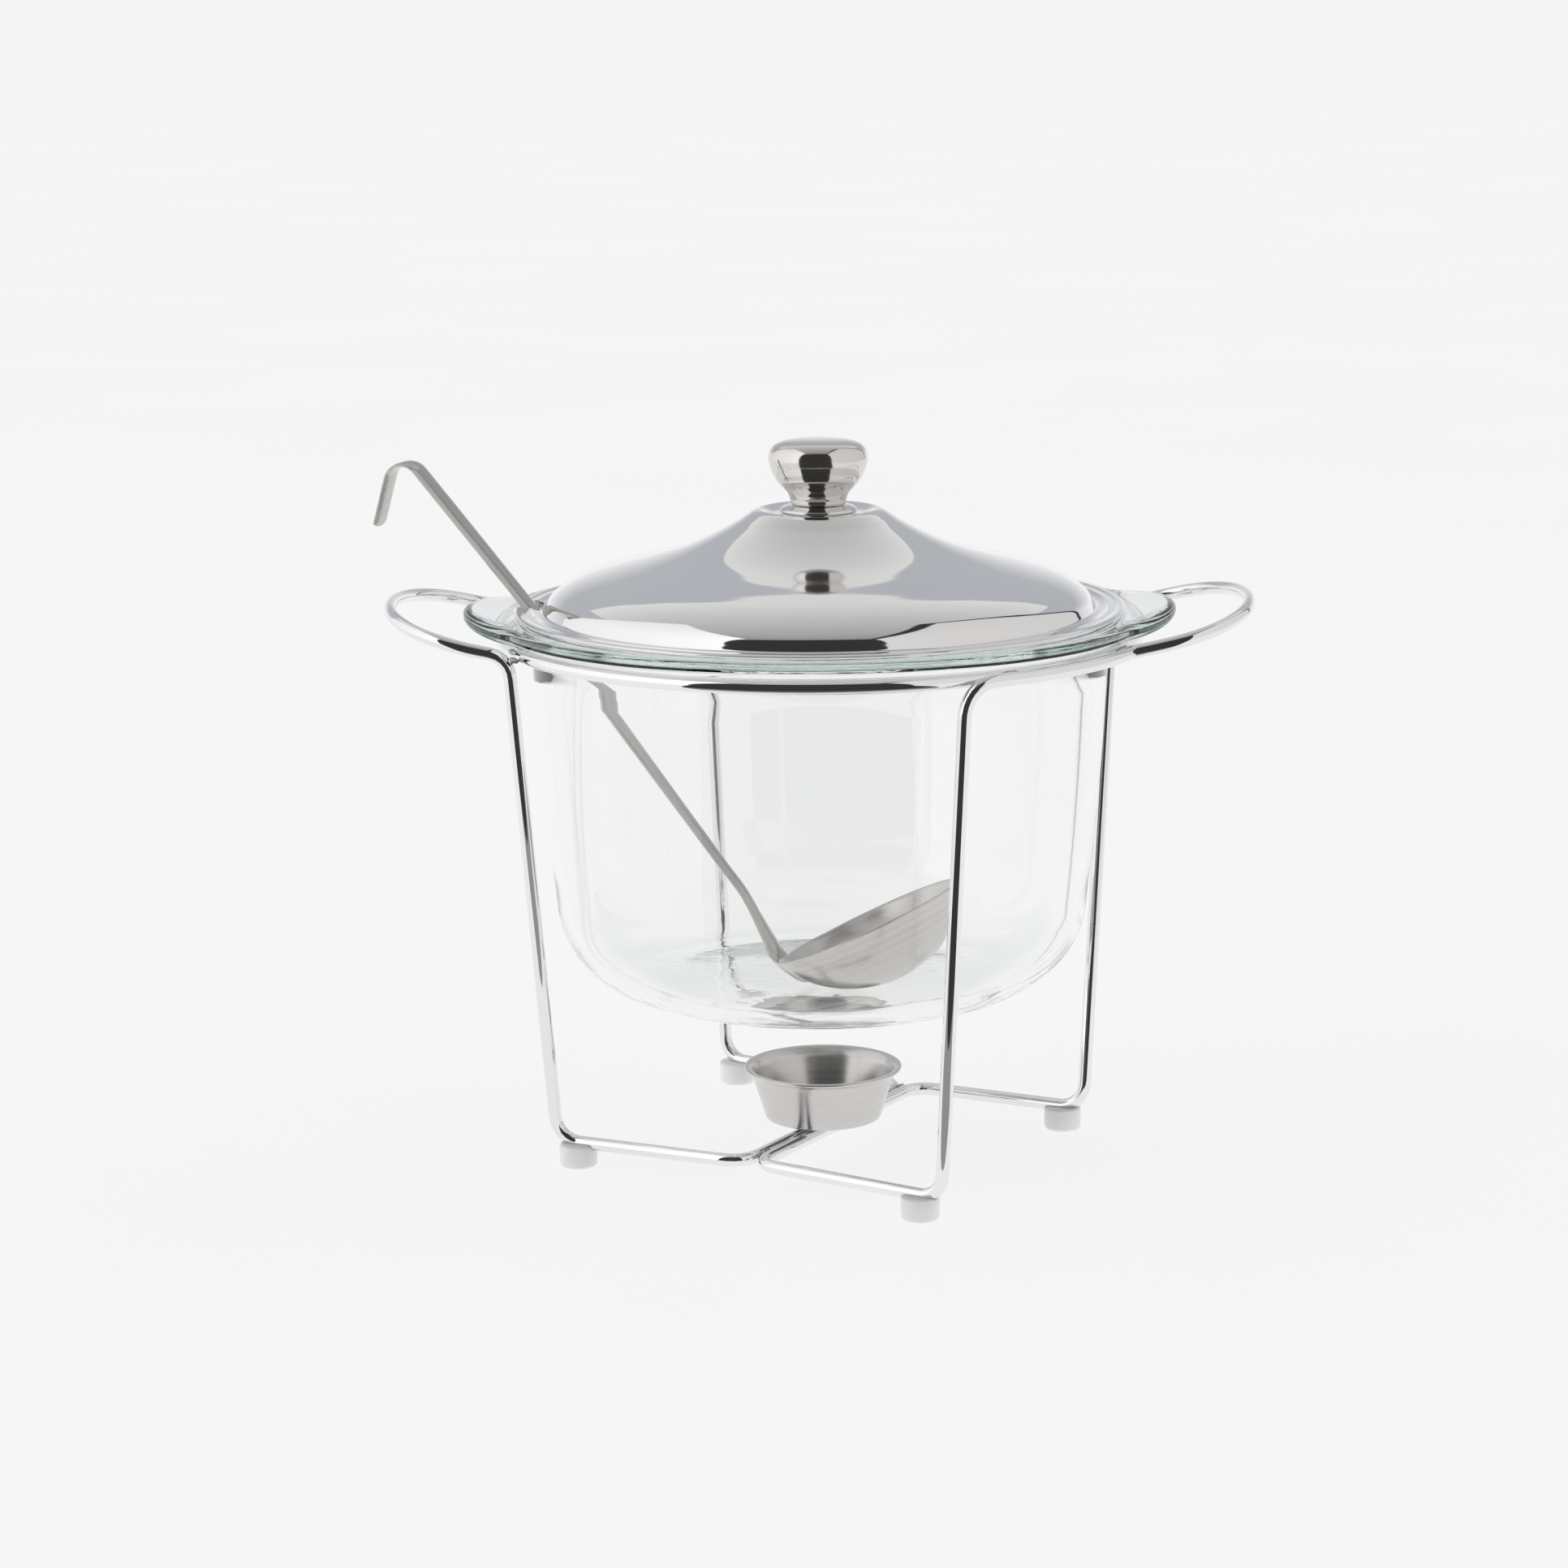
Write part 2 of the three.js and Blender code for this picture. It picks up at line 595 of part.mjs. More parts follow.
function placeLadle(group) {
  const neck = new THREE.Vector3(...LADLE_NECK);
  const up = new THREE.Vector3(...LADLE_RUN).normalize();
  const front = new THREE.Vector3(0, -1, 0).addScaledVector(up, up.y).normalize();
  const right = new THREE.Vector3().crossVectors(up, front);
  const turn = radians(LADLE_TURN);
  const bowlSide = right.multiplyScalar(Math.cos(turn)).addScaledVector(front, Math.sin(turn)).normalize();
  const across = new THREE.Vector3().crossVectors(up, bowlSide);
  group.matrixAutoUpdate = true;
  group.setRotationFromMatrix(new THREE.Matrix4().makeBasis(bowlSide, across, up));
  group.position.copy(neck);
}

// ---- assembly -----------------------------------------------------------------------------------
const rightRoute = wireRoute(RIGHT_LONG_LEG, BAR_CENTRE_X);
const leftRoute = wireRoute(LEFT_LONG_LEG, -BAR_CENTRE_X).map(spin);
const tureen = new THREE.Group();
tureen.matrixAutoUpdate = true;
tureen.position.set(POT_AXIS_X, 0, 0);

const stand = new THREE.Group();
stand.add(piece("support_ring", supportRing(), MATERIALS.wire()));
stand.add(piece("wire_right", wireTube(rightRoute, WIRE_RADIUS), MATERIALS.wire()));
stand.add(piece("wire_left", wireTube(leftRoute, WIRE_RADIUS), MATERIALS.wire()));
const FEET = [
  ["foot_front_right", LONG_LEG_FOOT, rightRoute],
  ["foot_back_right", SHORT_LEG_FOOT, rightRoute],
  ["foot_back_left", LONG_LEG_FOOT.map((v) => -v), leftRoute],
  ["foot_front_left", SHORT_LEG_FOOT.map((v) => -v), leftRoute],
];
for (const [name, centre, route] of FEET) stand.add(piece(name, foot(centre, route), MATERIALS.rubber()));
stand.add(piece("warmer_cup", warmerCup(), MATERIALS.satin()));
tureen.add(stand);

tureen.add(piece("glass_pot", glassPot(), MATERIALS.glass()));

const lid = new THREE.Group();
lid.add(piece("lid_shell", lidShell(), MATERIALS.mirror()));
lid.add(piece("knob_collar", knobCollar(), MATERIALS.mirror()));
lid.add(piece("knob", knob(), MATERIALS.mirror()));
lid.add(piece("knob_washer", knobWasher(), MATERIALS.screw()));
lid.add(piece("knob_screw", knobScrew(), MATERIALS.screw()));
tureen.add(lid);

const ladle = new THREE.Group();
placeLadle(ladle);
ladle.add(piece("ladle_bowl", ladleBowl(), MATERIALS.satin()));
ladle.add(piece("ladle_handle", ladleHandle(), MATERIALS.satin()));
tureen.add(ladle);

export default tureen;
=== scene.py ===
"""Looks of the glass soup tureen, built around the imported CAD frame.

Lengths are millimetres until a mesh is made, and the shapes repeat the driving dimensions of the CAD part
with finer steps and softer edges. The studio and the camera are placed in metres.
"""

import math

import bmesh
import bpy
import numpy as np
from mathutils import Matrix, Vector


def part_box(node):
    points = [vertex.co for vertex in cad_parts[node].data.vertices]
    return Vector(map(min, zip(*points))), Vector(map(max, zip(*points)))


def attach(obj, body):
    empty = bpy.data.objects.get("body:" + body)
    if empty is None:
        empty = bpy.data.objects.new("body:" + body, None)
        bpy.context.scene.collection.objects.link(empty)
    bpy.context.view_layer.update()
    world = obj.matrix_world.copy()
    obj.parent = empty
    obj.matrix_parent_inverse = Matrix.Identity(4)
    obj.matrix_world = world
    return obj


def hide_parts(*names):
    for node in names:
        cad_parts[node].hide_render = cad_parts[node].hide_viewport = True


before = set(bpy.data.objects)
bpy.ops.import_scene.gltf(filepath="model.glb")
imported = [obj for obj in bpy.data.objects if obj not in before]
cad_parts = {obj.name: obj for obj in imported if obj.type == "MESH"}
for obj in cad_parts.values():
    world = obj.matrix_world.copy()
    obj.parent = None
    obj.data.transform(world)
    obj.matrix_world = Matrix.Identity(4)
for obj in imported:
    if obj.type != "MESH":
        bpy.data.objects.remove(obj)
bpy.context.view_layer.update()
MM = 0.001
_low, _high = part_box("knob")
# The upright axis that pot, lid and knob share, in metres.
AXIS = Vector(((_low[0] + _high[0]) / 2, (_low[1] + _high[1]) / 2, 0))

# ---- dimensions of the CAD part ------------------------------------------------------------------
# Angles are in degrees. Azimuths run from the front towards +X, and NOTCH_ANGLE from +X towards +Y.
# GAP parts pieces that touch on the real object.
GAP = 0.3
WIRE_RADIUS = 2.4
RING_RADIUS, RING_HEIGHT = 115.2, 193.5
ARM_RADIUS = RING_RADIUS + 2 * WIRE_RADIUS + GAP
BASE_HEIGHT = 8.8
SHORT_LEG_AZIMUTH, ARM_END_AZIMUTH, HANDLE_REACH = 114.5, 65.5, 154.95
BAR_HALF_LENGTH, BAR_CENTRE_X, BAR_ANGLE = 59, 3, 59.8
LEG_BEND, TOP_BEND, BAR_BEND = 9, 11.5, 9
FOOT_RADIUS, FOOT_HEIGHT = 6.85, 8.6
LONG_LEG_FOOT, SHORT_LEG_FOOT, SHORT_LEG_STEP = (33.6, -91), (89.9, 22.2), 8.4
RIGHT_LONG_LEG, LEFT_LONG_LEG = (24.2, 8.8), (22, 4.8)

CUP_RIM_RADIUS, CUP_MOUTH_RADIUS, CUP_BASE_RADIUS, CUP_TOP, CUP_WALL = 29.2, 26.9, 21.8, 31.4, 1
CUP_BOTTOM = BASE_HEIGHT + WIRE_RADIUS + GAP

FLANGE_RADIUS, FLANGE_ROOT, MOUTH_RADIUS = 118, 109.5, 108.6
FLANGE_BOTTOM = RING_HEIGHT + WIRE_RADIUS + GAP
POT_TOP, POT_BOTTOM, POT_FLOOR, POT_WALL, POT_CORNER = 201.9, 62.3, 67, 4.2, 35
WALL_TOP, WALL_TOP_RADIUS, WALL_TAPER, WALL_CURVE = 190, 104.2, 0.022, 0.000605
NECK_HEIGHT = 182
EAR_CENTRE, EAR_REACH, EAR_HALF_WIDTH, EAR_RISE, EAR_RISE_FROM, EAR_BLEND = 98, 31, 45, 3, 108, 3

LID_SHEET, LID_RIM_RADIUS, LID_RIM_TOP, LID_DOME_RADIUS, LID_SEAT_HEIGHT = 1, 110.5, 203.7, 99.3, 237.2
NOTCH_ANGLE, NOTCH_WIDTH, NOTCH_CORNER, NOTCH_BOTTOM_RADIUS = 175.6, 18, 3, 99.5
DOME = [(21.5, 238.8), (23.6, 238.2), (26.5, 236.4), (30, 234.1), (40, 228.8), (50, 224.6), (62, 220.9),
        (75, 217.5), (84, 214.9), (90, 212.5), (94.5, 209.9), (97.6, 207.2), (LID_DOME_RADIUS, 204.2)]
KNOB_RADIUS, KNOB_NECK_RADIUS, KNOB_BOTTOM, KNOB_TOP = 17.95, 10.2, 240.5, 263.9
COLLAR_RADIUS, SCREW_HOLE_RADIUS, SCREW_HOLE_DEPTH = 14.2, 2.7, 11

BOWL_RADIUS, BOWL_DEPTH, BOWL_SHEET, BOWL_TILT = 36, 24, 1.5, 12.15
HANDLE_THICKNESS, HANDLE_OFFSET, HANDLE_LEAN, LEAN_FROM, LEAN_TO = 2, 2.9, 2.7, 125, 150
HANDLE_TOP_WIDTH, HANDLE_NECK_WIDTH, HANDLE_LENGTH = 10.2, 6.4, 222.4
HOOK_RADIUS, HOOK_TURN, HOOK_END_LENGTH = 7, 122, 19
LADLE_NECK, LADLE_RUN, LADLE_TURN = (-13.6, -21.3, 77.1), (-93.3, 30.4, 124.1), 18
SPHERE_RADIUS = (BOWL_RADIUS**2 + BOWL_DEPTH**2) / (2 * BOWL_DEPTH)


# ---- geometry helpers ----------------------------------------------------------------------------
def unit(v):
    return v / np.linalg.norm(v)


def round_section(radius, sides):
    angles = np.linspace(0, 2 * math.pi, sides, endpoint=False)
    return [(radius * math.cos(a), radius * math.sin(a)) for a in angles]


def on_circle(radius, azimuth, z):
    """A point round the upright axis, at an azimuth in degrees from the front."""
    a = math.radians(azimuth)
    return np.array([radius * math.sin(a), -radius * math.cos(a), z])


def arc(cx, cz, radius, start, end, count):
    """Points of a circle round (cx, cz), between two angles in degrees."""
    angles = np.radians(np.linspace(start, end, count + 1))
    return [(cx + radius * math.cos(a), cz + radius * math.sin(a)) for a in angles]


def curve_through(points, params):
    """Centripetal Catmull-Rom curve through the points, at each parameter from 0 to 1."""
    p = [np.asarray(q, float) for q in points]
    p = [2 * p[0] - p[1], *p, 2 * p[-1] - p[-2]]
    out = []
    for t in params:
        s = t * (len(points) - 1)
        i = min(int(s), len(points) - 2)
        w = s - i
        a, b, c, d = p[i : i + 4]
        da, db, dc = (max(np.dot(v, v) ** 0.25, 1e-4) for v in (b - a, c - b, d - c))
        m1 = db * ((b - a) / da - (c - a) / (da + db) + (c - b) / db)
        m2 = db * ((c - b) / db - (d - b) / (db + dc) + (d - c) / dc)
        out.append(b + m1 * w + (3 * (c - b) - 2 * m1 - m2) * w**2 + (2 * (b - c) + m1 + m2) * w**3)
    return out


def eased(profile, reach, steps=4, closed=False):
    """Rounds each corner of a profile over a reach of at most that many millimetres."""
    flat_turn, share = 6, 0.45
    pts = [np.asarray(p, float) for p in profile]
    out = [] if closed else [pts[0]]
    n = len(pts)
    for i in range(0 if closed else 1, n if closed else n - 1):
        a, b, c = pts[i - 1], pts[i], pts[(i + 1) % n]
        before, after = np.linalg.norm(a - b), np.linalg.norm(c - b)
        turn = math.degrees(math.acos(np.clip(np.dot(b - a, c - b) / (before * after), -1, 1)))
        if turn < flat_turn:
            out.append(b)
            continue
        r = min(reach, share * before, share * after)
        start, end = b + (a - b) / before * r, b + (c - b) / after * r
        for t in np.linspace(0, 1, steps + 1):
            out.append((1 - t) ** 2 * start + 2 * t * (1 - t) * b + t**2 * end)
    if not closed:
        out.append(pts[-1])
    return out


def finish_shading(mesh, angle):
    mesh.polygons.foreach_set("use_smooth", [True] * len(mesh.polygons))
    mesh.set_sharp_from_angle(angle=math.radians(angle))


def make(name, verts, faces, smooth_angle=40):
    """Makes an object of the points, in millimetres, with merged seams and its faces pointing out."""
    mesh = bpy.data.meshes.new(name)
    mesh.from_pydata([tuple(v) for v in np.asarray(verts) * MM], [], faces)
    bm = bmesh.new()
    bm.from_mesh(mesh)
    bmesh.ops.remove_doubles(bm, verts=bm.verts, dist=1e-7)
    bmesh.ops.recalc_face_normals(bm, faces=bm.faces)
    bm.to_mesh(mesh)
    bm.free()
    finish_shading(mesh, smooth_angle)
    obj = bpy.data.objects.new(name, mesh)
    bpy.context.scene.collection.objects.link(obj)
    return obj


def turned(name, profile, sides, warp=None, smooth_angle=40):
    """Turns a closed or axis-to-axis profile of (radius, z) about Z. warp changes points at each angle."""
    verts, faces = [], []
    count = len(profile)
    for s in range(sides):
        a = 2 * math.pi * s / sides
        for r, z in profile:
            if warp:
                r, z = warp(r, z, a)
            verts.append((r * math.cos(a), r * math.sin(a), z))
    loop = np.allclose(profile[0], profile[-1])
    for s in range(sides):
        t = (s + 1) % sides
        for i in range(count - 1):
            faces.append((s * count + i, t * count + i, t * count + i + 1, s * count + i + 1))
    obj = make(name, verts, faces, smooth_angle)
    if not loop:
        bm = bmesh.new()
        bm.from_mesh(obj.data)
        bmesh.ops.dissolve_degenerate(bm, edges=bm.edges, dist=1e-8)
        bm.to_mesh(obj.data)
        bm.free()
        finish_shading(obj.data, smooth_angle)
    return obj


def sweep(name, route, sections, closed=True):
    """Skins cross-sections (lists of 2D points, one per route point) along a route without twist."""
    n = len(route)
    tangents = []
    for i in range(n):
        if closed:
            a, b = route[i - 1], route[(i + 1) % n]
        else:
            a, b = route[max(i - 1, 0)], route[min(i + 1, n - 1)]
        tangents.append(unit(b - a))
    any_side = [0.31, 0.17, 0.93]
    normal = unit(np.cross(tangents[0], any_side))
    frames = []
    for tangent in tangents:
        normal = unit(normal - tangent * np.dot(normal, tangent))
        frames.append((normal, np.cross(tangent, normal)))
    # What a closed route has turned when it comes back is shared out along it.
    twist = 0.0
    if closed:
        last = unit(normal - tangents[0] * np.dot(normal, tangents[0]))
        twist = math.atan2(np.dot(last, frames[0][1]), np.dot(last, frames[0][0]))
    verts, faces, m = [], [], len(sections[0])
    for i, (u, v) in enumerate(frames):
        a = -twist * i / n
        across, out = u * math.cos(a) + v * math.sin(a), v * math.cos(a) - u * math.sin(a)
        verts += [route[i] + across * x + out * y for x, y in sections[i]]
    for i in range(n if closed else n - 1):
        faces += ring_faces(i, (i + 1) % n, m)
    if not closed:
        faces += end_faces(n, m)
    return make(name, verts, faces)


def ring_faces(i, j, count):
    """The faces between ring i and ring j of a skin, with count points in each ring."""
    corners = [(k, (k + 1) % count) for k in range(count)]
    return [(i * count + k, i * count + l, j * count + l, j * count + k) for k, l in corners]


def end_faces(rings, count):
    return [tuple(range(count)), tuple((rings - 1) * count + k for k in reversed(range(count)))]


def tube(name, route, radius, sides=20):
    return sweep(name, route, [round_section(radius, sides)] * len(route))


def cut(obj, cutter, smooth_angle=40):
    """Cuts one piece by another, and removes the cutter."""
    modifier = obj.modifiers.new("cut", "BOOLEAN")
    modifier.operation, modifier.object, modifier.solver = "DIFFERENCE", cutter, "EXACT"
    applied = bpy.data.meshes.new_from_object(obj.evaluated_get(bpy.context.evaluated_depsgraph_get()))
    obj.modifiers.clear()
    old = obj.data
    obj.data = applied
    bpy.data.meshes.remove(old)
    bpy.data.objects.remove(cutter)
    finish_shading(obj.data, smooth_angle)
    return obj


def bend(before, corner, after, radius, steps):
    """The arc that rounds a corner between two straight stretches."""
    a, b = unit(before - corner), unit(after - corner)
    half = math.acos(np.clip(np.dot(a, b), -1, 1)) / 2
    centre = corner + unit(a + b) * radius / math.sin(half)
    start = Vector(corner + a * radius / math.tan(half) - centre)
    axis = Vector(unit(np.cross(b, a)))
    turns = [Matrix.Rotation((math.pi - 2 * half) * i / steps, 3, axis) for i in range(steps + 1)]
    return [np.array(turn @ start) + centre for turn in turns]


# ---- materials -----------------------------------------------------------------------------------
class Nodes:
    """A short way to write a procedural material. Its position is in metres from the axis, or, where local,
    in the frame that the piece was made in."""

    def __init__(self, name, local=False):
        self.material = bpy.data.materials.new(name)
        self.material.use_nodes = True
        self.tree = self.material.node_tree
        self.shader = self.tree.nodes["Principled BSDF"]
        self.output = self.tree.nodes["Material Output"]
        self.coordinates = self.add("ShaderNodeTexCoord")
        if local:
            self.position = self.add("ShaderNodeAttribute", attribute_name="local").outputs["Vector"]
            return
        centred = self.add("ShaderNodeVectorMath", operation="SUBTRACT")
        centred.inputs[1].default_value = AXIS
        self.tree.links.new(self.coordinates.outputs["Object"], centred.inputs[0])
        self.position = centred.outputs["Vector"]

    def add(self, kind, **inputs):
        node = self.tree.nodes.new(kind)
        for key, value in inputs.items():
            socket = key.replace("_", " ")
            if socket in node.inputs:
                if isinstance(value, bpy.types.NodeSocket):
                    self.tree.links.new(value, node.inputs[socket])
                else:
                    node.inputs[socket].default_value = value
            else:
                setattr(node, key, value)
        return node

    def set(self, **values):
        for key, value in values.items():
            socket = self.shader.inputs[key.replace("_", " ")]
            if isinstance(value, bpy.types.NodeSocket):
                self.tree.links.new(value, socket)
            else:
                socket.default_value = value

    def noise(self, scale, stretch=(1, 1, 1), detail=4, vector=None):
        mapping = self.add("ShaderNodeMapping", Scale=stretch)
        self.tree.links.new(vector or self.position, mapping.inputs["Vector"])
        node = self.add("ShaderNodeTexNoise", Vector=mapping.outputs["Vector"], Scale=scale, Detail=detail)
        return node.outputs["Fac"]

    def math(self, operation, a, b=0.0):
        """A sum, product or other operation of two outputs or numbers."""
        node = self.add("ShaderNodeMath", operation=operation)
        for socket, value in zip(node.inputs, (a, b)):
            if isinstance(value, bpy.types.NodeSocket):
                self.tree.links.new(value, socket)
            else:
                socket.default_value = value
        return node.outputs[0]

    def ramp(self, value, low, high, colors):
        node = self.add("ShaderNodeValToRGB")
        self.tree.links.new(value, node.inputs["Fac"])
        for element, place, color in zip(node.color_ramp.elements, (low, high), colors):
            element.position = place
            element.color = (*color, 1)
        return node.outputs["Color"]

    def between(self, value, low, high, start=0.0, end=1.0):
        node = self.add("ShaderNodeMapRange")
        self.tree.links.new(value, node.inputs["Value"])
        node.inputs["From Min"].default_value, node.inputs["From Max"].default_value = start, end
        node.inputs["To Min"].default_value, node.inputs["To Max"].default_value = low, high
        return node.outputs["Result"]

    def bump(self, height, strength, distance):
        node = self.add("ShaderNodeBump", Strength=strength, Distance=distance)
        self.tree.links.new(height, node.inputs["Height"])
        return node.outputs["Normal"]

    def around_axis(self):
        """Radius from the Z axis, height, and nothing else, so that a noise of it makes turning lines."""
        split = self.add("ShaderNodeSeparateXYZ", Vector=self.position)
        x, y = (self.math("MULTIPLY", split.outputs[axis], split.outputs[axis]) for axis in "XY")
        join = self.add("ShaderNodeCombineXYZ")
        self.tree.links.new(self.math("SQRT", self.math("ADD", x, y)), join.inputs["X"])
        self.tree.links.new(split.outputs["Z"], join.inputs["Z"])
        return join.outputs["Vector"]


def polished(name, low, high, roughness, turning=0.0):
    """Bright polished steel: faint colour change, hazy patches, and turning lines or a slight waviness."""
    wave, wave_strength = 300, 0.05
    n = Nodes(name)
    n.set(Metallic=1.0, Base_Color=n.ramp(n.noise(9, detail=3), 0.35, 0.65, [low, high]))
    n.set(Roughness=n.between(n.noise(60, detail=6), roughness * 0.6, roughness * 1.4))
    height = n.noise(2600, vector=n.around_axis(), detail=2) if turning else n.noise(wave, detail=2)
    n.set(Normal=n.bump(height, turning or wave_strength, 0.00002))
    return n.material


def satin(name, low, high, roughness, along=(1, 1, 1), turning=False, local=False):
    """Satin steel with fine grinding lines, along one direction or round the Z axis."""
    n = Nodes(name, local)
    lines = n.noise(700, along, detail=4, vector=n.around_axis() if turning else n.position)
    n.set(Metallic=1.0, Base_Color=n.ramp(lines, 0.3, 0.7, [low, high]))
    blotches = n.math("MULTIPLY", n.noise(45, detail=5), 0.4)
    mixed = n.math("ADD", blotches, n.between(lines, 0, 0.6))
    n.set(Roughness=n.between(mixed, roughness * 0.75, roughness * 1.25))
    n.set(Normal=n.bump(lines, 0.12, 0.00003))
    return n.material


def clear_glass():
    """Pressed glass: clear in the wall, green on the ears' upright edges, where the way through is long."""
    ear_from, ear_to = 0.1185, 0.1215
    floor_from, floor_to = 0.066, 0.074
    n = Nodes("clear_glass")
    radius = n.add("ShaderNodeSeparateXYZ", Vector=n.around_axis()).outputs["X"]
    steepness = n.add("ShaderNodeSeparateXYZ", Vector=n.coordinates.outputs["Normal"]).outputs["Z"]
    upright_face = n.between(n.math("ABSOLUTE", steepness), 1, 0, 0.35, 0.9)
    edge = n.math("MULTIPLY", n.between(radius, 0, 1, ear_from, ear_to), upright_face)
    n.set(Base_Color=n.ramp(edge, 0, 1, [(0.985, 0.99, 0.988), (0.60, 0.80, 0.73)]))
    n.set(Transmission_Weight=1.0, IOR=1.47, Roughness=n.between(n.noise(40, detail=4), 0.0, 0.012))
    height = n.add("ShaderNodeSeparateXYZ", Vector=n.position).outputs["Z"]
    ripple = n.math("MULTIPLY", n.noise(70, detail=2), n.between(height, 6, 0, floor_from, floor_to))
    waves = n.math("ADD", n.noise(22, (1, 1, 0.6), detail=1), ripple)
    n.set(Normal=n.bump(waves, 0.05, 0.0008))
    volume = n.add("ShaderNodeVolumeAbsorption", Color=(0.5, 0.85, 0.75, 1), Density=0.8)
    n.tree.links.new(volume.outputs["Volume"], n.output.inputs["Volume"])
    return n.material


def milky_plastic():
    """Soft plastic that lets some light in, with a fine moulded grain."""
    n = Nodes("milky_plastic")
    n.set(Base_Color=n.ramp(n.noise(160), 0.3, 0.7, [(0.88, 0.87, 0.87), (0.93, 0.92, 0.92)]))
    n.set(Roughness=n.between(n.noise(300), 0.35, 0.5), Subsurface_Weight=0.35, Subsurface_Scale=0.004)
    n.set(Subsurface_Radius=(1, 1, 1), Normal=n.bump(n.noise(900, detail=5), 0.15, 0.0001))
    return n.material


def weld_metal():
    """Bare weld metal, blotchy and rough."""
    n = Nodes("weld_metal")
    n.set(Metallic=1.0, Base_Color=n.ramp(n.noise(500), 0.3, 0.7, [(0.25, 0.24, 0.23), (0.62, 0.61, 0.6)]))
    n.set(Roughness=n.between(n.noise(700), 0.2, 0.5), Normal=n.bump(n.noise(650, detail=5), 0.5, 0.0003))
    return n.material


WIRE_STEEL = polished("wire_steel", (0.84, 0.84, 0.85), (0.9, 0.9, 0.91), 0.05)
LID_STEEL = polished("lid_steel", (0.80, 0.80, 0.81), (0.84, 0.84, 0.845), 0.05, turning=0.03)
KNOB_STEEL = polished("knob_steel", (0.66, 0.64, 0.62), (0.74, 0.72, 0.70), 0.10, turning=0.04)
CUP_STEEL = satin("cup_steel", (0.63, 0.615, 0.60), (0.67, 0.655, 0.64), 0.25, turning=True)
BOWL_STEEL = satin("bowl_steel", (0.60, 0.575, 0.555), (0.66, 0.635, 0.615), 0.24, turning=True, local=True)
HANDLE_STEEL = satin("handle_steel", (0.48, 0.46, 0.44), (0.58, 0.56, 0.54), 0.17, (1, 1, 0.02), local=True)
SCREW_STEEL = satin("screw_steel", (0.5, 0.5, 0.5), (0.62, 0.62, 0.62), 0.3)
GLASS = clear_glass()
PLASTIC = milky_plastic()
WELD = weld_metal()


def dress(obj, body, material, slot, *nodes):
    """Puts a finished piece in place, with its material, on its body, for the CAD nodes it stands for."""
    local = np.empty(3 * len(obj.data.vertices), dtype=np.float32)
    obj.data.vertices.foreach_get("co", local)
    obj.data.attributes.new("local", "FLOAT_VECTOR", "POINT").data.foreach_set("vector", local)
    obj.data.transform(Matrix.Translation(AXIS) @ obj.matrix_world)
    obj.matrix_world = Matrix.Identity(4)
    obj.data.materials.clear()
    obj.data.materials.append(material)
    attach(obj, body)
    if nodes:
        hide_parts(*nodes)
    return obj


# ---- stand ---------------------------------------------------------------------------------------
def base_line():
    """The direction of the two base bars, which lie side by side."""
    a = math.radians(BAR_ANGLE)
    return np.array([math.cos(a), math.sin(a), 0])


def wire_route(long_leg, bar_centre_x):
    """One bent wire: base bar, long leg, arm along the ring, handle, short leg, and back to the bar."""
    azimuth, step = long_leg
    along = base_line()
    side = np.array([along[1], -along[0], 0]) * (WIRE_RADIUS + GAP / 2)
    middle = np.array([bar_centre_x, 0, BASE_HEIGHT]) + side
    front_bar, back_bar = middle - along * BAR_HALF_LENGTH, middle + along * BAR_HALF_LENGTH

    def corner(foot, bar_end, out):
        centre = np.array([*foot, BASE_HEIGHT])
        return centre + unit(centre - bar_end) * out

    front_corner = corner(LONG_LEG_FOOT, front_bar, step)
    back_corner = corner(SHORT_LEG_FOOT, back_bar, SHORT_LEG_STEP)
    front_top = on_circle(ARM_RADIUS, azimuth, RING_HEIGHT)
    back_top = on_circle(ARM_RADIUS, SHORT_LEG_AZIMUTH, RING_HEIGHT)
    ring_arc = [on_circle(ARM_RADIUS, v, RING_HEIGHT) for v in np.linspace(azimuth + 7, ARM_END_AZIMUTH, 19)]
    handle = [
        ring_arc[-1], (128, -50.5, 197.8), (141, -44, 201.2), (151, -27, 204), (HANDLE_REACH, 0, 205.2),
        (151, 27, 204), (141, 44, 201.2), (128, 50.5, 197.8), back_top + np.array([4, 0, 0.6]),
    ]
    bend_from = 26 / 28
    loop = curve_through(handle, np.linspace(0, bend_from, 66))
    return [
        *bend(back_bar, front_bar, front_corner, BAR_BEND, 12),
        *bend(front_bar, front_corner, front_top, LEG_BEND, 14),
        *bend(front_corner, front_top, ring_arc[0], TOP_BEND, 14),
        *ring_arc[1:-1],
        *loop[:-1],
        *bend(loop[-1], back_top, back_corner, LEG_BEND, 14),
        *bend(back_top, back_corner, back_bar, LEG_BEND, 14),
        *bend(back_corner, back_bar, front_bar, BAR_BEND, 12),
    ]


def resampled(route, spacing=2.5):
    """Even steps along a closed route, so that the drawn wire reflects without kinks."""
    pts = np.array([*route, route[0]])
    keep = np.r_[True, np.linalg.norm(np.diff(pts, axis=0), axis=1) > 1e-3]
    pts = pts[keep]
    length = np.r_[0, np.cumsum(np.linalg.norm(np.diff(pts, axis=0), axis=1))]
    at = np.linspace(0, length[-1], int(length[-1] / spacing), endpoint=False)
    return list(np.column_stack([np.interp(at, length, pts[:, k]) for k in range(3)]))


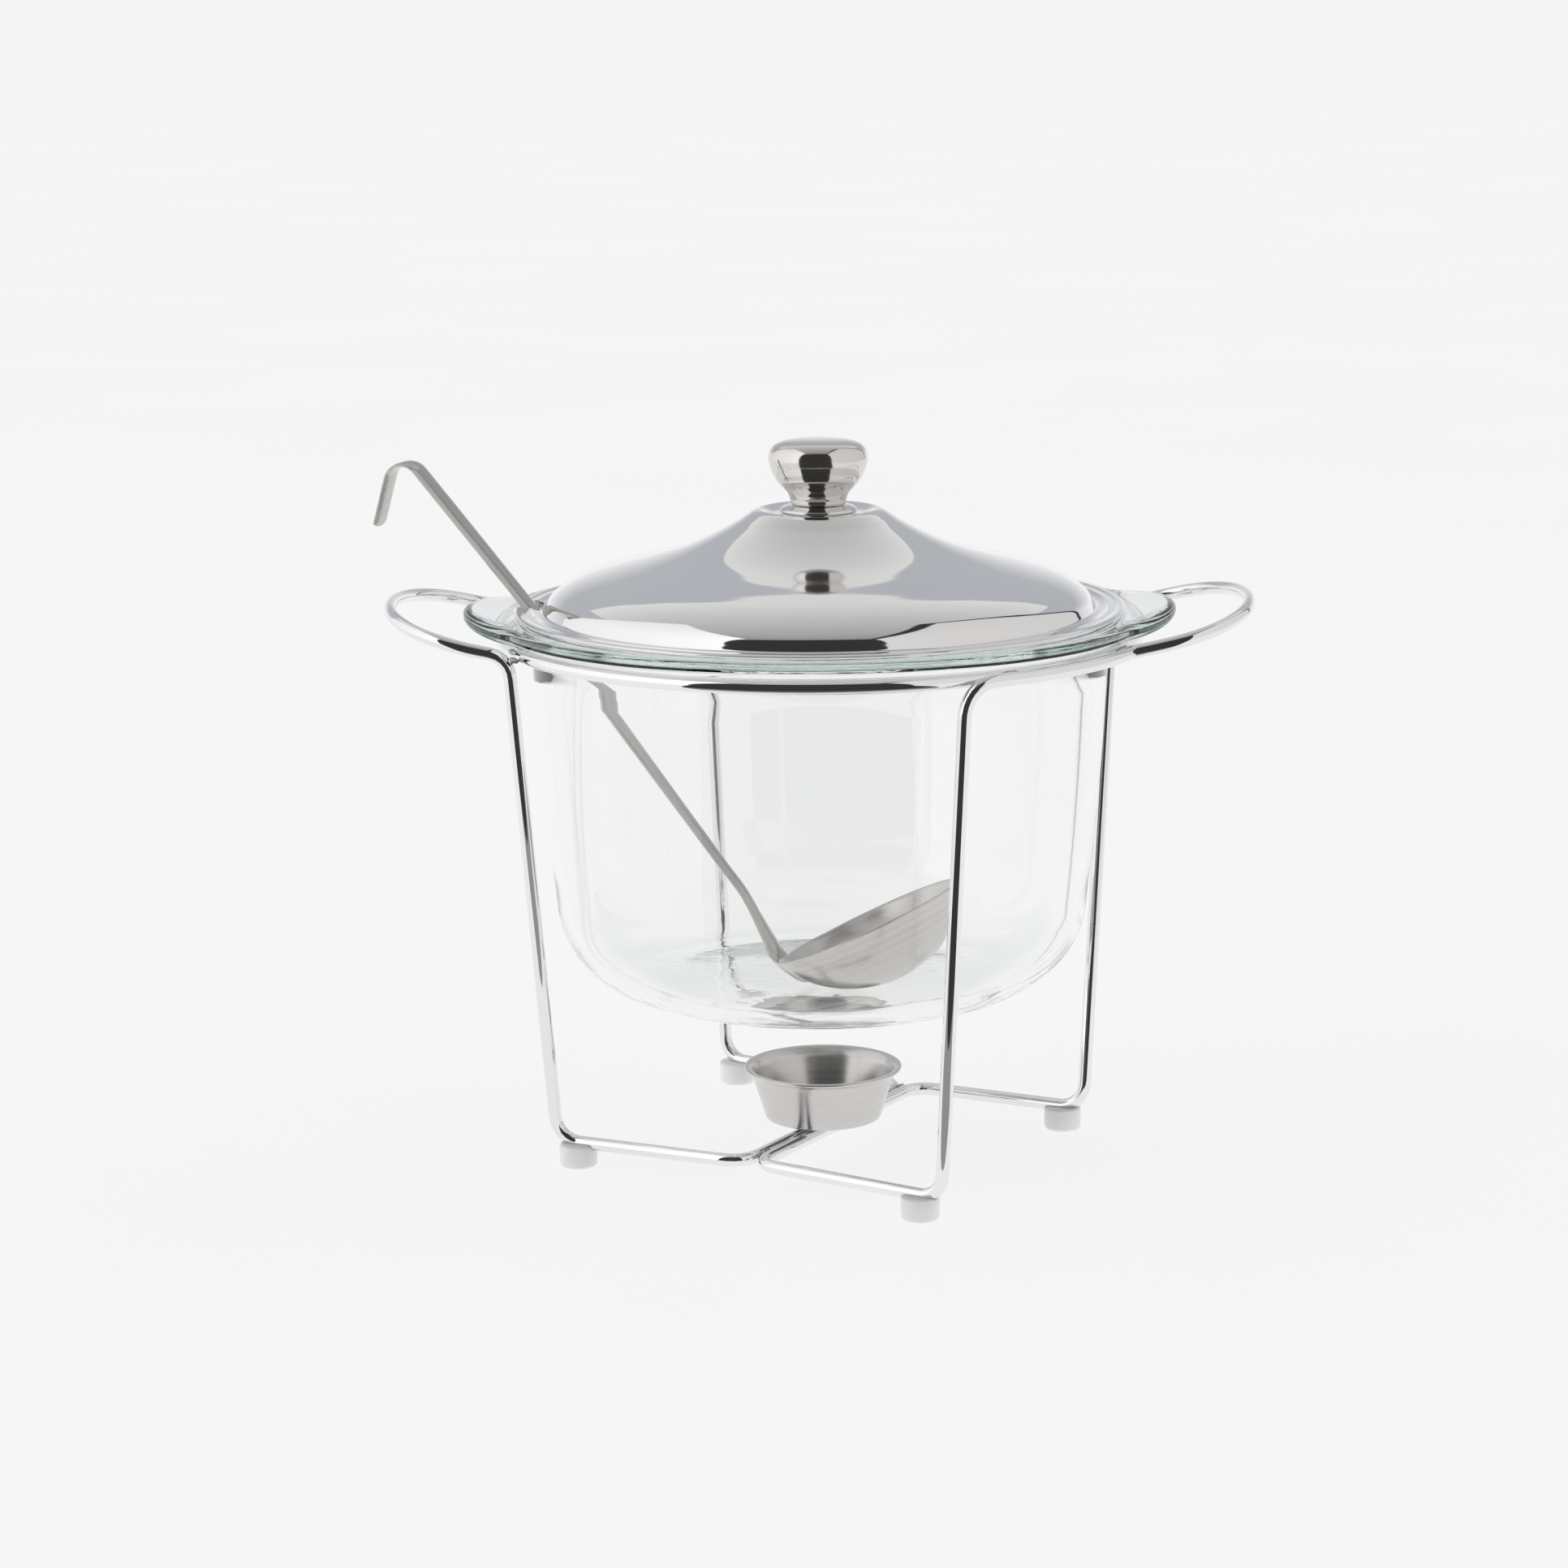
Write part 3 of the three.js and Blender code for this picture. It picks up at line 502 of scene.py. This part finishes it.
def bead(name, p, q, seed):
    """A small weld bead lying between two wires, from p to q, a little uneven in width."""
    size, steps, sides, unevenness = 0.9, 9, 12, 0.12
    rng = np.random.default_rng(seed)
    route, sections = [], []
    for t in np.linspace(0, 1, steps):
        swell = 0.25 + 0.75 * math.sin(math.pi * (0.08 + 0.84 * t))
        route.append(p + (q - p) * t)
        sections.append(round_section(size * swell * (1 + unevenness * rng.standard_normal()), sides))
    return sweep(name, route, sections, closed=False)


def build_foot(node, x, y, route):
    profile = eased([(0, 0), (FOOT_RADIUS - 0.6, 0), (FOOT_RADIUS, 0.8), (FOOT_RADIUS, FOOT_HEIGHT - 0.5),
                     (FOOT_RADIUS - 0.7, FOOT_HEIGHT), (0, FOOT_HEIGHT)], 0.6)
    body = turned(f"soft_{node}", profile, 48)
    body.data.transform(Matrix.Translation((x * MM, y * MM, 0)))
    cut(body, tube("groove", resampled(route), WIRE_RADIUS + 0.1))
    dress(body, "stand", PLASTIC, "foot_plastic", node)


def build_ring_welds(side, sign, azimuth):
    """Beads over and under the ring where one wire's arm meets it: by the long leg, handle and short leg."""
    half_span, rise = 2, 1.5  # degrees along the ring, and millimetres from its middle
    middle = RING_RADIUS + WIRE_RADIUS + GAP / 2
    for index, v in enumerate((azimuth + 9, ARM_END_AZIMUTH - 1, SHORT_LEG_AZIMUTH - 1)):
        for level, z in (("top", rise), ("under", -rise)):
            p, q = (on_circle(middle, v + d, RING_HEIGHT + z) for d in (-half_span, half_span))
            weld = bead(f"weld_{side}_{index}_{level}", p, q, index + 10 * (z > 0))
            weld.data.transform(Matrix.Scale(sign, 4, (1, 0, 0)) @ Matrix.Scale(sign, 4, (0, 1, 0)))
            dress(weld, "stand", WELD, "wire_steel")


def build_stand():
    right = wire_route(RIGHT_LONG_LEG, BAR_CENTRE_X)
    left = [p * np.array([-1, -1, 1]) for p in wire_route(LEFT_LONG_LEG, -BAR_CENTRE_X)]
    for side, route in (("right", right), ("left", left)):
        wire = tube(f"bent_wire_{side}", resampled(route), WIRE_RADIUS)
        dress(wire, "stand", WIRE_STEEL, "wire_steel", f"wire_{side}")
    circle = [on_circle(RING_RADIUS, a, RING_HEIGHT) for a in np.linspace(0, 360, 180, endpoint=False)]
    dress(tube("ring", circle, WIRE_RADIUS), "stand", WIRE_STEEL, "wire_steel", "support_ring")

    build_foot("foot_front_right", *LONG_LEG_FOOT, right)
    build_foot("foot_back_right", *SHORT_LEG_FOOT, right)
    build_foot("foot_back_left", -LONG_LEG_FOOT[0], -LONG_LEG_FOOT[1], left)
    build_foot("foot_front_left", -SHORT_LEG_FOOT[0], -SHORT_LEG_FOOT[1], left)

    build_ring_welds("right", 1, RIGHT_LONG_LEG[0])
    build_ring_welds("left", -1, LEFT_LONG_LEG[0])
    along, from_middle, half_length, rise = base_line(), 50, 5, 1.5
    for index, place in enumerate((-from_middle, from_middle)):
        p = np.array([BAR_CENTRE_X, 0, BASE_HEIGHT + rise]) + along * place
        weld = bead(f"bar_weld_{index}", p - along * half_length, p + along * half_length, 30 + index)
        dress(weld, "stand", WELD, "wire_steel")


def build_cup():
    """The tea light's cup: a cone with a rolled-out rim, on the base bars."""
    lip = CUP_TOP - 1.2
    inside_base, inside_mouth = CUP_BASE_RADIUS - CUP_WALL, CUP_MOUTH_RADIUS - CUP_WALL
    outside = [
        (0, CUP_BOTTOM), (CUP_BASE_RADIUS - 2.2, CUP_BOTTOM), (CUP_BASE_RADIUS - 0.5, CUP_BOTTOM + 0.6),
        (CUP_BASE_RADIUS + 0.1, CUP_BOTTOM + 2.6), (CUP_MOUTH_RADIUS - 0.9, lip - 3),
        (CUP_MOUTH_RADIUS + 0.4, lip - 0.8),
    ]
    rim = [(CUP_RIM_RADIUS - 0.4, lip), (CUP_RIM_RADIUS, lip + 0.6), (CUP_RIM_RADIUS - 0.4, CUP_TOP)]
    inside = [
        (CUP_MOUTH_RADIUS, CUP_TOP - 0.1), (inside_mouth - 0.9, lip - 1.5), (inside_base, CUP_BOTTOM + 3.6),
        (inside_base - 2.4, CUP_BOTTOM + CUP_WALL), (0, CUP_BOTTOM + CUP_WALL),
    ]
    profile = eased([*outside, *rim, *inside], 1.2)
    dress(turned("tea_light_cup", profile, 96), "stand", CUP_STEEL, "cup_steel", "warmer_cup")


# ---- pot -----------------------------------------------------------------------------------------
def wall_radius(z):
    below = WALL_TOP - z
    return WALL_TOP_RADIUS - WALL_CURVE * below**2 - WALL_TAPER * below


def flange_reach(angle):
    """Outer radius of the flange and its two ears, which blend into the round rim."""
    c, s = abs(math.cos(angle)), abs(math.sin(angle))
    # The ear is an ellipse, and its radius at this angle is the larger root of a quadratic.
    square = (c / EAR_REACH) ** 2 + (s / EAR_HALF_WIDTH) ** 2
    linear = -2 * c * EAR_CENTRE / EAR_REACH**2
    constant = (EAR_CENTRE / EAR_REACH) ** 2 - 1
    inside_root = linear * linear - 4 * square * constant
    ear = (-linear + math.sqrt(inside_root)) / (2 * square) if inside_root > 0 else 0
    past_rim = ear - FLANGE_RADIUS
    if past_rim <= -6:
        return FLANGE_RADIUS
    return FLANGE_RADIUS + (past_rim + math.sqrt(past_rim * past_rim + EAR_BLEND)) / 2 - 0.2


def with_ears(r, z, angle):
    """Draws the flange out to the ears, and lifts them towards their tips."""
    if r < FLANGE_ROOT or z < FLANGE_BOTTOM - 0.5:
        return r, z
    reach = flange_reach(angle)
    out = r + (reach - FLANGE_RADIUS) * min(1, (r - FLANGE_ROOT) / (FLANGE_RADIUS - 2 - FLANGE_ROOT))
    rise = max(0, out * abs(math.cos(angle)) - EAR_RISE_FROM) / (EAR_CENTRE + EAR_REACH - EAR_RISE_FROM)
    return out, z + EAR_RISE * min(1, rise) ** 1.5 * (reach > FLANGE_RADIUS + 0.5)


def build_pot():
    corner_top = POT_BOTTOM + POT_CORNER
    corner_radius = wall_radius(corner_top)
    inner_corner = POT_CORNER - POT_WALL
    heights = np.linspace(corner_top + 4, NECK_HEIGHT, 20)
    hollow_under_base = [
        (0, POT_BOTTOM + 1.2), (20, POT_BOTTOM + 1.15), (34, POT_BOTTOM + 1), (44, POT_BOTTOM + 0.7),
        (50, POT_BOTTOM + 0.38), (55, POT_BOTTOM + 0.12), (59, POT_BOTTOM),
    ]
    neck_and_flange = eased([
        (104.4, 186), (105.2, 189.5), (106.3, 192.3), (107.8, 194.7), (109.8, FLANGE_BOTTOM),
        (FLANGE_RADIUS - 1.4, FLANGE_BOTTOM), (FLANGE_RADIUS, FLANGE_BOTTOM + 1.6),
        (FLANGE_RADIUS, POT_TOP - 1.8), (FLANGE_RADIUS - 1.6, POT_TOP), (MOUTH_RADIUS, POT_TOP),
        (MOUTH_RADIUS - 1.2, POT_TOP - 2), (MOUTH_RADIUS - 5, POT_TOP - 7), (101.8, POT_TOP - 12),
        (100.6, 185.5), (wall_radius(NECK_HEIGHT) - POT_WALL, NECK_HEIGHT),
    ], 2.0)
    profile = [
        *hollow_under_base,
        *arc(corner_radius - POT_CORNER, corner_top, POT_CORNER, -90, -4, 26)[1:],
        *[(wall_radius(z), z) for z in heights],
        *neck_and_flange,
        *[(wall_radius(z) - POT_WALL, z) for z in heights[::-1][1:]],
        *arc(corner_radius - POT_CORNER, POT_FLOOR + inner_corner, inner_corner, -4, -90, 24),
        (30, POT_FLOOR), (0, POT_FLOOR),
    ]
    dress(turned("clear_pot", profile, 360, with_ears, 60), "pot", GLASS, "glass", "glass_pot")


# ---- lid -----------------------------------------------------------------------------------------
def notch_cutter():
    """A block with rounded corners, through the lid's rim where the ladle's handle stands."""
    half, start, end = NOTCH_WIDTH / 2, NOTCH_BOTTOM_RADIUS, LID_RIM_RADIUS + 8
    outline = eased([(start, -half), (end, -half), (end, half), (start, half)], NOTCH_CORNER, 8, closed=True)
    verts = [(x, y, z) for z in (POT_TOP - 8, POT_TOP + 6) for x, y in outline]
    count = len(outline)
    cutter = make("notch", verts, [*end_faces(2, count), *ring_faces(0, 1, count)])
    cutter.data.transform(Matrix.Rotation(math.radians(NOTCH_ANGLE), 4, "Z"))
    return cutter


def build_lid():
    """A spun sheet: a dished seat for the knob, the dome, and a bead and a flat rim on the pot's mouth."""
    outer = curve_through(DOME, np.linspace(0, 1, 90))
    inner = []
    for i, p in enumerate(outer):
        t = unit(outer[min(i + 1, len(outer) - 1)] - outer[max(i - 1, 0)])
        inner.append((p[0] + t[1] * LID_SHEET, p[1] - t[0] * LID_SHEET))
    under = POT_TOP + GAP
    seat = LID_SEAT_HEIGHT
    below = eased([
        (SCREW_HOLE_RADIUS, seat), (SCREW_HOLE_RADIUS, seat - LID_SHEET), (16.8, seat - LID_SHEET),
        (19.9, seat + 1.2 - LID_SHEET), inner[0],
    ], 0.9)
    rim = eased([
        inner[-1], (99.2, under - 1.9), (101.4, under - 2.4), (103.6, under - 1.9), (105.4, under),
        (LID_RIM_RADIUS - 0.5, under), (LID_RIM_RADIUS, under + 0.6), (LID_RIM_RADIUS, LID_RIM_TOP - 0.6),
        (LID_RIM_RADIUS - 0.9, LID_RIM_TOP), (LID_RIM_RADIUS - 2.6, LID_RIM_TOP - 0.1),
        (LID_RIM_RADIUS - 3.4, LID_RIM_TOP - 0.45), (104.4, LID_RIM_TOP - 0.3), (103.4, LID_RIM_TOP - 0.9),
        (101.6, LID_RIM_TOP - 1.3), (99.9, LID_RIM_TOP - 0.9), outer[-1],
    ], 0.7)
    dish = eased([outer[0], (19.6, seat + 1.2), (16.5, seat), (SCREW_HOLE_RADIUS, seat)], 1.2)
    profile = [*below, *inner[1:-1], *rim, *outer[::-1][1:-1], *dish[:-1], below[0]]
    shell = turned("domed_lid", profile, 256, smooth_angle=50)
    dress(cut(shell, notch_cutter(), 50), "lid", LID_STEEL, "lid_steel", "lid_shell")


def build_knob():
    bottom, top = LID_SEAT_HEIGHT + GAP, KNOB_BOTTOM - GAP
    collar = eased([
        (SCREW_HOLE_RADIUS, bottom), (COLLAR_RADIUS - 0.8, bottom), (COLLAR_RADIUS, bottom + 0.7),
        (COLLAR_RADIUS - 0.5, bottom + 1.5), (KNOB_NECK_RADIUS + 0.6, top), (SCREW_HOLE_RADIUS, top),
    ], 0.6)
    piece = turned("turned_collar", [*collar, collar[0]], 96)
    dress(piece, "lid", KNOB_STEEL, "knob_steel", "knob_collar")

    hole_top = KNOB_BOTTOM + SCREW_HOLE_DEPTH
    sides = curve_through([
        (KNOB_NECK_RADIUS, KNOB_BOTTOM + 0.5), (10.4, 242.7), (11.3, 244.7), (13.4, 246.9), (15.4, 249.3),
        (17.1, 252.9), (KNOB_RADIUS, 256.9), (17.4, 259.9), (15.6, 261.9), (12.5, 263.1), (7, 263.75),
        (0, KNOB_TOP),
    ], np.linspace(0, 1, 70))
    profile = [(0, hole_top), (SCREW_HOLE_RADIUS, hole_top), (SCREW_HOLE_RADIUS, KNOB_BOTTOM),
               (KNOB_NECK_RADIUS - 0.4, KNOB_BOTTOM), *sides[:-1], (0, KNOB_TOP)]
    dress(turned("turned_knob", profile, 96), "lid", KNOB_STEEL, "knob_steel", "knob")


# ---- ladle ---------------------------------------------------------------------------------------
def lean_point(length):
    """The handle's middle line, straight and then leaning back, as (side, up) at a length from the neck."""
    span = LEAN_TO - LEAN_FROM
    radius = span / math.radians(HANDLE_LEAN)
    angle = min(max(length - LEAN_FROM, 0), span) / radius
    before, beyond = min(length, LEAN_FROM), max(0, length - LEAN_TO)
    return np.array([HANDLE_OFFSET - radius * (1 - math.cos(angle)) - beyond * math.sin(angle),
                     before + radius * math.sin(angle) + beyond * math.cos(angle)])


def handle_line():
    """The handle's middle line seen from its edge: tang on the bowl, neck, straight strip, and hook."""
    standoff = GAP + HANDLE_THICKNESS / 2
    tilt = math.radians(BOWL_TILT)
    up = SPHERE_RADIUS - BOWL_DEPTH
    centre = (BOWL_RADIUS * math.cos(tilt) + up * math.sin(tilt),
              up * math.cos(tilt) - BOWL_RADIUS * math.sin(tilt))
    rim_angle = 180 + math.degrees(math.acos(BOWL_RADIUS / SPHERE_RADIUS)) - BOWL_TILT
    tang = arc(*centre, SPHERE_RADIUS + standoff, rim_angle + 20, rim_angle + 3, 16)
    neck = curve_through([tang[-2], tang[-1], (-1.3, 3.5), (-0.2, 9), (1.2, 17), (HANDLE_OFFSET, 28),
                          (HANDLE_OFFSET, 40)], np.linspace(1 / 6, 1, 40))[1:]
    rising = [lean_point(v) for v in np.linspace(42, HANDLE_LENGTH, 90)]
    hook = [np.array(p) for p in arc(-HOOK_RADIUS, 0, HOOK_RADIUS, 0, HOOK_TURN, 24)]
    heading = math.radians(90 + HOOK_TURN)
    onward = np.array([math.cos(heading), math.sin(heading)])
    end = [hook[-1] + onward * v for v in np.linspace(0.5, HOOK_END_LENGTH, 24)]
    lean = math.radians(HANDLE_LEAN)
    turn = np.array([[math.cos(lean), -math.sin(lean)], [math.sin(lean), math.cos(lean)]])
    leaning = [turn @ p + rising[-1] for p in [*hook[1:], *end]]
    return [*[np.array(p) for p in tang], *neck, *rising, *leaning]


def smoothstep(x, a, b):
    t = min(1, max(0, (x - a) / (b - a)))
    return t * t * (3 - 2 * t)


def handle_width(z):
    flare = 9 * (1 - smoothstep(z, -14, 26))
    widening = (HANDLE_TOP_WIDTH - HANDLE_NECK_WIDTH) * smoothstep(z, 10, HANDLE_LENGTH - 20)
    return HANDLE_NECK_WIDTH + widening + flare


def ladle_matrix():
    """From the ladle's own frame, with its neck at the origin and its handle up Z, to where it stands."""
    up = unit(np.array(LADLE_RUN))
    front = unit(np.array([0, -1, 0]) + up * up[1])
    right = np.cross(up, front)
    turn = math.radians(LADLE_TURN)
    side = unit(right * math.cos(turn) + front * math.sin(turn))
    across = np.cross(up, side)
    m = Matrix.Identity(4)
    for column, v in enumerate((side, across, up)):
        for row in range(3):
            m[row][column] = v[row]
    return Matrix.Translation(Vector(LADLE_NECK) * MM) @ m


def strip_section(width, crown):
    """A flat strip's section of twenty points, with softly rounded edges and crowned faces."""
    ring, squareness = 20, 0.35
    half, thick = width / 2, HANDLE_THICKNESS / 2
    section = []
    for k in range(ring):
        a = 2 * math.pi * (k + 0.5) / ring
        across, out = (abs(v) ** squareness * math.copysign(1, v) for v in (math.cos(a), math.sin(a)))
        section.append((across * half, out * (thick - crown * min(1, abs(across)) ** 2)))
    return section


def build_handle(place):
    line = handle_line()
    n = len(line)
    length = np.r_[0, np.cumsum([np.linalg.norm(line[i + 1] - line[i]) for i in range(n - 1)])]
    verts, faces = [], []
    for i, p in enumerate(line):
        t = unit(line[min(i + 1, n - 1)] - line[max(i - 1, 0)])
        normal = np.array([-t[1], t[0]])
        width = handle_width(p[1]) if length[i] < length[-1] - 60 else HANDLE_TOP_WIDTH
        from_end = min(length[i], length[-1] - length[i])
        corner = 4.0 if length[i] < 20 else 2.2
        if from_end < corner:
            width -= 2 * (corner - math.sqrt(max(0, corner**2 - (corner - from_end) ** 2)))
        section = strip_section(width, 0.55 * smoothstep(length[i], 4, 30))
        for across, out in section:
            q = p + normal * out
            verts.append((q[0], across, q[1]))
        if i:
            faces += ring_faces(i - 1, i, len(section))
    faces += end_faces(n, len(section))
    handle = make("strip_handle", verts, faces, 35)
    handle.matrix_world = place
    dress(handle, "ladle", HANDLE_STEEL, "ladle_steel", "ladle_handle")


def build_bowl(place):
    rim_angle = math.degrees(math.asin(BOWL_RADIUS / SPHERE_RADIUS))
    centre = SPHERE_RADIUS - BOWL_DEPTH
    inside_radius = SPHERE_RADIUS - BOWL_SHEET
    inner_rim = math.degrees(math.asin((BOWL_RADIUS - BOWL_SHEET) / inside_radius))
    outside = arc(0, centre, SPHERE_RADIUS, -90, rim_angle - 90, 40)
    inside = arc(0, centre, inside_radius, inner_rim - 90, -90, 30)
    lip = eased([outside[-1], (BOWL_RADIUS + 0.25, 0.6), (BOWL_RADIUS - 0.3, 1.1), (BOWL_RADIUS - 1.2, 0.8),
                 inside[0]], 0.5)
    bowl = turned("spun_bowl", [*outside[:-1], *lip, *inside[1:]], 128)
    tilt = Matrix.Rotation(math.radians(BOWL_TILT), 4, "Y")
    bowl.matrix_world = place @ tilt @ Matrix.Translation((BOWL_RADIUS * MM, 0, 0))
    dress(bowl, "ladle", BOWL_STEEL, "ladle_steel", "ladle_bowl")


def build_ladle():
    place = ladle_matrix()
    build_handle(place)
    build_bowl(place)


build_stand()
build_cup()
build_pot()
build_lid()
build_knob()
build_ladle()
for node in ("knob_washer", "knob_screw"):
    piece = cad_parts[node]
    piece.data.materials.clear()
    piece.data.materials.append(SCREW_STEEL)


# ---- studio --------------------------------------------------------------------------------------
def emitter(name, color, near, far=None):
    """A glowing card's material. Its strength runs from near to far along the card's own Y."""
    n = Nodes(name)
    n.set(Base_Color=(0, 0, 0, 1), Specular_IOR_Level=0.0)
    n.set(Emission_Color=(*color, 1), Emission_Strength=near)
    if far is not None:
        along = n.add("ShaderNodeSeparateXYZ", Vector=n.coordinates.outputs["Generated"]).outputs["Y"]
        n.set(Emission_Strength=n.between(along, near, far))
    return n.material


def card(name, corners, material):
    """A flat card for the steel and glass to reflect, which the camera does not see and no shadow shows."""
    mesh = bpy.data.meshes.new(name)
    mesh.from_pydata([Vector(c) + AXIS for c in corners], [], [tuple(range(len(corners)))])
    mesh.materials.append(material)
    obj = bpy.data.objects.new(name, mesh)
    bpy.context.scene.collection.objects.link(obj)
    obj.visible_camera = obj.visible_shadow = False
    return obj


def upright(x, y0, y1, z0, z1):
    """The corners of a card that stands at one side."""
    return [(x, y0, z0), (x, y1, z0), (x, y1, z1), (x, y0, z1)]


def floor_card(name, back, front, material):
    """A card on the floor, from its back edge (left, right, y) to its front edge, seen by gloss only."""
    lift = 0.0004
    corners = [(front[0], front[2], lift), (front[1], front[2], lift), (back[1], back[2], lift),
               (back[0], back[2], lift)]
    obj = card(name, corners, material)
    obj.visible_diffuse = obj.visible_transmission = False


def build_floor():
    size = 40
    mesh = bpy.data.meshes.new("floor")
    corners = [(-size, -size, 0), (size, -size, 0), (size, size, 0), (-size, size, 0)]
    mesh.from_pydata(corners, [], [(0, 1, 2, 3)])
    floor = bpy.data.objects.new("floor", mesh)
    bpy.context.scene.collection.objects.link(floor)
    n = Nodes("floor_paper")
    n.set(Base_Color=n.ramp(n.noise(3), 0.4, 0.6, [(0.12, 0.12, 0.12), (0.13, 0.13, 0.13)]))
    n.set(Roughness=0.95, Specular_IOR_Level=0.0, Emission_Color=(1, 1, 1, 1), Emission_Strength=0.84)
    mesh.materials.append(n.material)


def build_world():
    """Soft light from all round, white at the horizon and grey above."""
    world = bpy.data.worlds.new("studio")
    bpy.context.scene.world = world
    world.use_nodes = True
    tree = world.node_tree
    direction = tree.nodes.new("ShaderNodeTexCoord")
    split = tree.nodes.new("ShaderNodeSeparateXYZ")
    ramp = tree.nodes.new("ShaderNodeValToRGB")
    tree.links.new(direction.outputs["Generated"], split.inputs["Vector"])
    tree.links.new(split.outputs["Z"], ramp.inputs["Fac"])
    tree.links.new(ramp.outputs["Color"], tree.nodes["Background"].inputs["Color"])
    horizon, overhead = ramp.color_ramp.elements
    horizon.position, horizon.color = 0.0, (1, 1, 1, 1)
    overhead.position, overhead.color = 0.3, (0.50, 0.515, 0.545, 1)


def build_cards():
    black = emitter("black_card", (1, 0.97, 0.94), 0.04)
    white = emitter("softbox_white", (1, 1, 1), 1.22, 0.95)
    grey = emitter("softbox_grey", (1, 0.985, 0.965), 0.84, 0.74)
    panel = emitter("ceiling_panel", (1, 0.995, 0.98), 0.2, 0.85)
    near_grey = emitter("grey_card", (1, 1, 1), 0.3)
    card("softbox_left", upright(-1.6, -1.6, 1.5, 0, 3.8), white)
    card("softbox_right", upright(1.6, -2.66, 1.6, 0, 4.4), grey)
    card("softbox_right_frame", upright(1.64, -2.7, 1.8, 0, 5.4), black)
    top = 6.2
    corners = [(-5.7, -6, top), (5.7, -6, top), (5.4, 8.9, top), (0, 7.7, top), (-5.4, 8.9, top)]
    card("ceiling", corners, panel)
    left, right, front, near = -2.2, 1.35, -2.2, -0.25
    card("front", [(left, front, 0), (right, front, 0), (right, front, 4.2), (left, front, 4.2)], black)
    floor_card("front_floor", (-0.25, 0.2, near), (left, right, front), black)
    floor_card("near_floor", (-0.13, 0.13, -0.14), (-0.25, 0.2, near), near_grey)


def build_camera():
    heading, down, roll = 0.504, 11.44, -0.578
    data = bpy.data.cameras.new("camera")
    data.sensor_width = 36
    data.lens = 97.83
    data.clip_end = 200
    camera = bpy.data.objects.new("camera", data)
    camera.location = Vector((0, -1.525, 0.446)) + AXIS
    turn = Matrix.Rotation(math.radians(heading), 3, "Z") @ Matrix.Rotation(math.radians(90 - down), 3, "X")
    camera.rotation_euler = (turn @ Matrix.Rotation(math.radians(roll), 3, "Z")).to_euler()
    bpy.context.scene.collection.objects.link(camera)
    bpy.context.scene.camera = camera


build_floor()
build_world()
build_cards()
build_camera()
bpy.context.scene.view_settings.view_transform = "Standard"
# Thick glass turns black at its edges with fewer bounces.
BOUNCES = 48
cycles = bpy.context.scene.cycles
cycles.max_bounces = cycles.glossy_bounces = cycles.transmission_bounces = BOUNCES
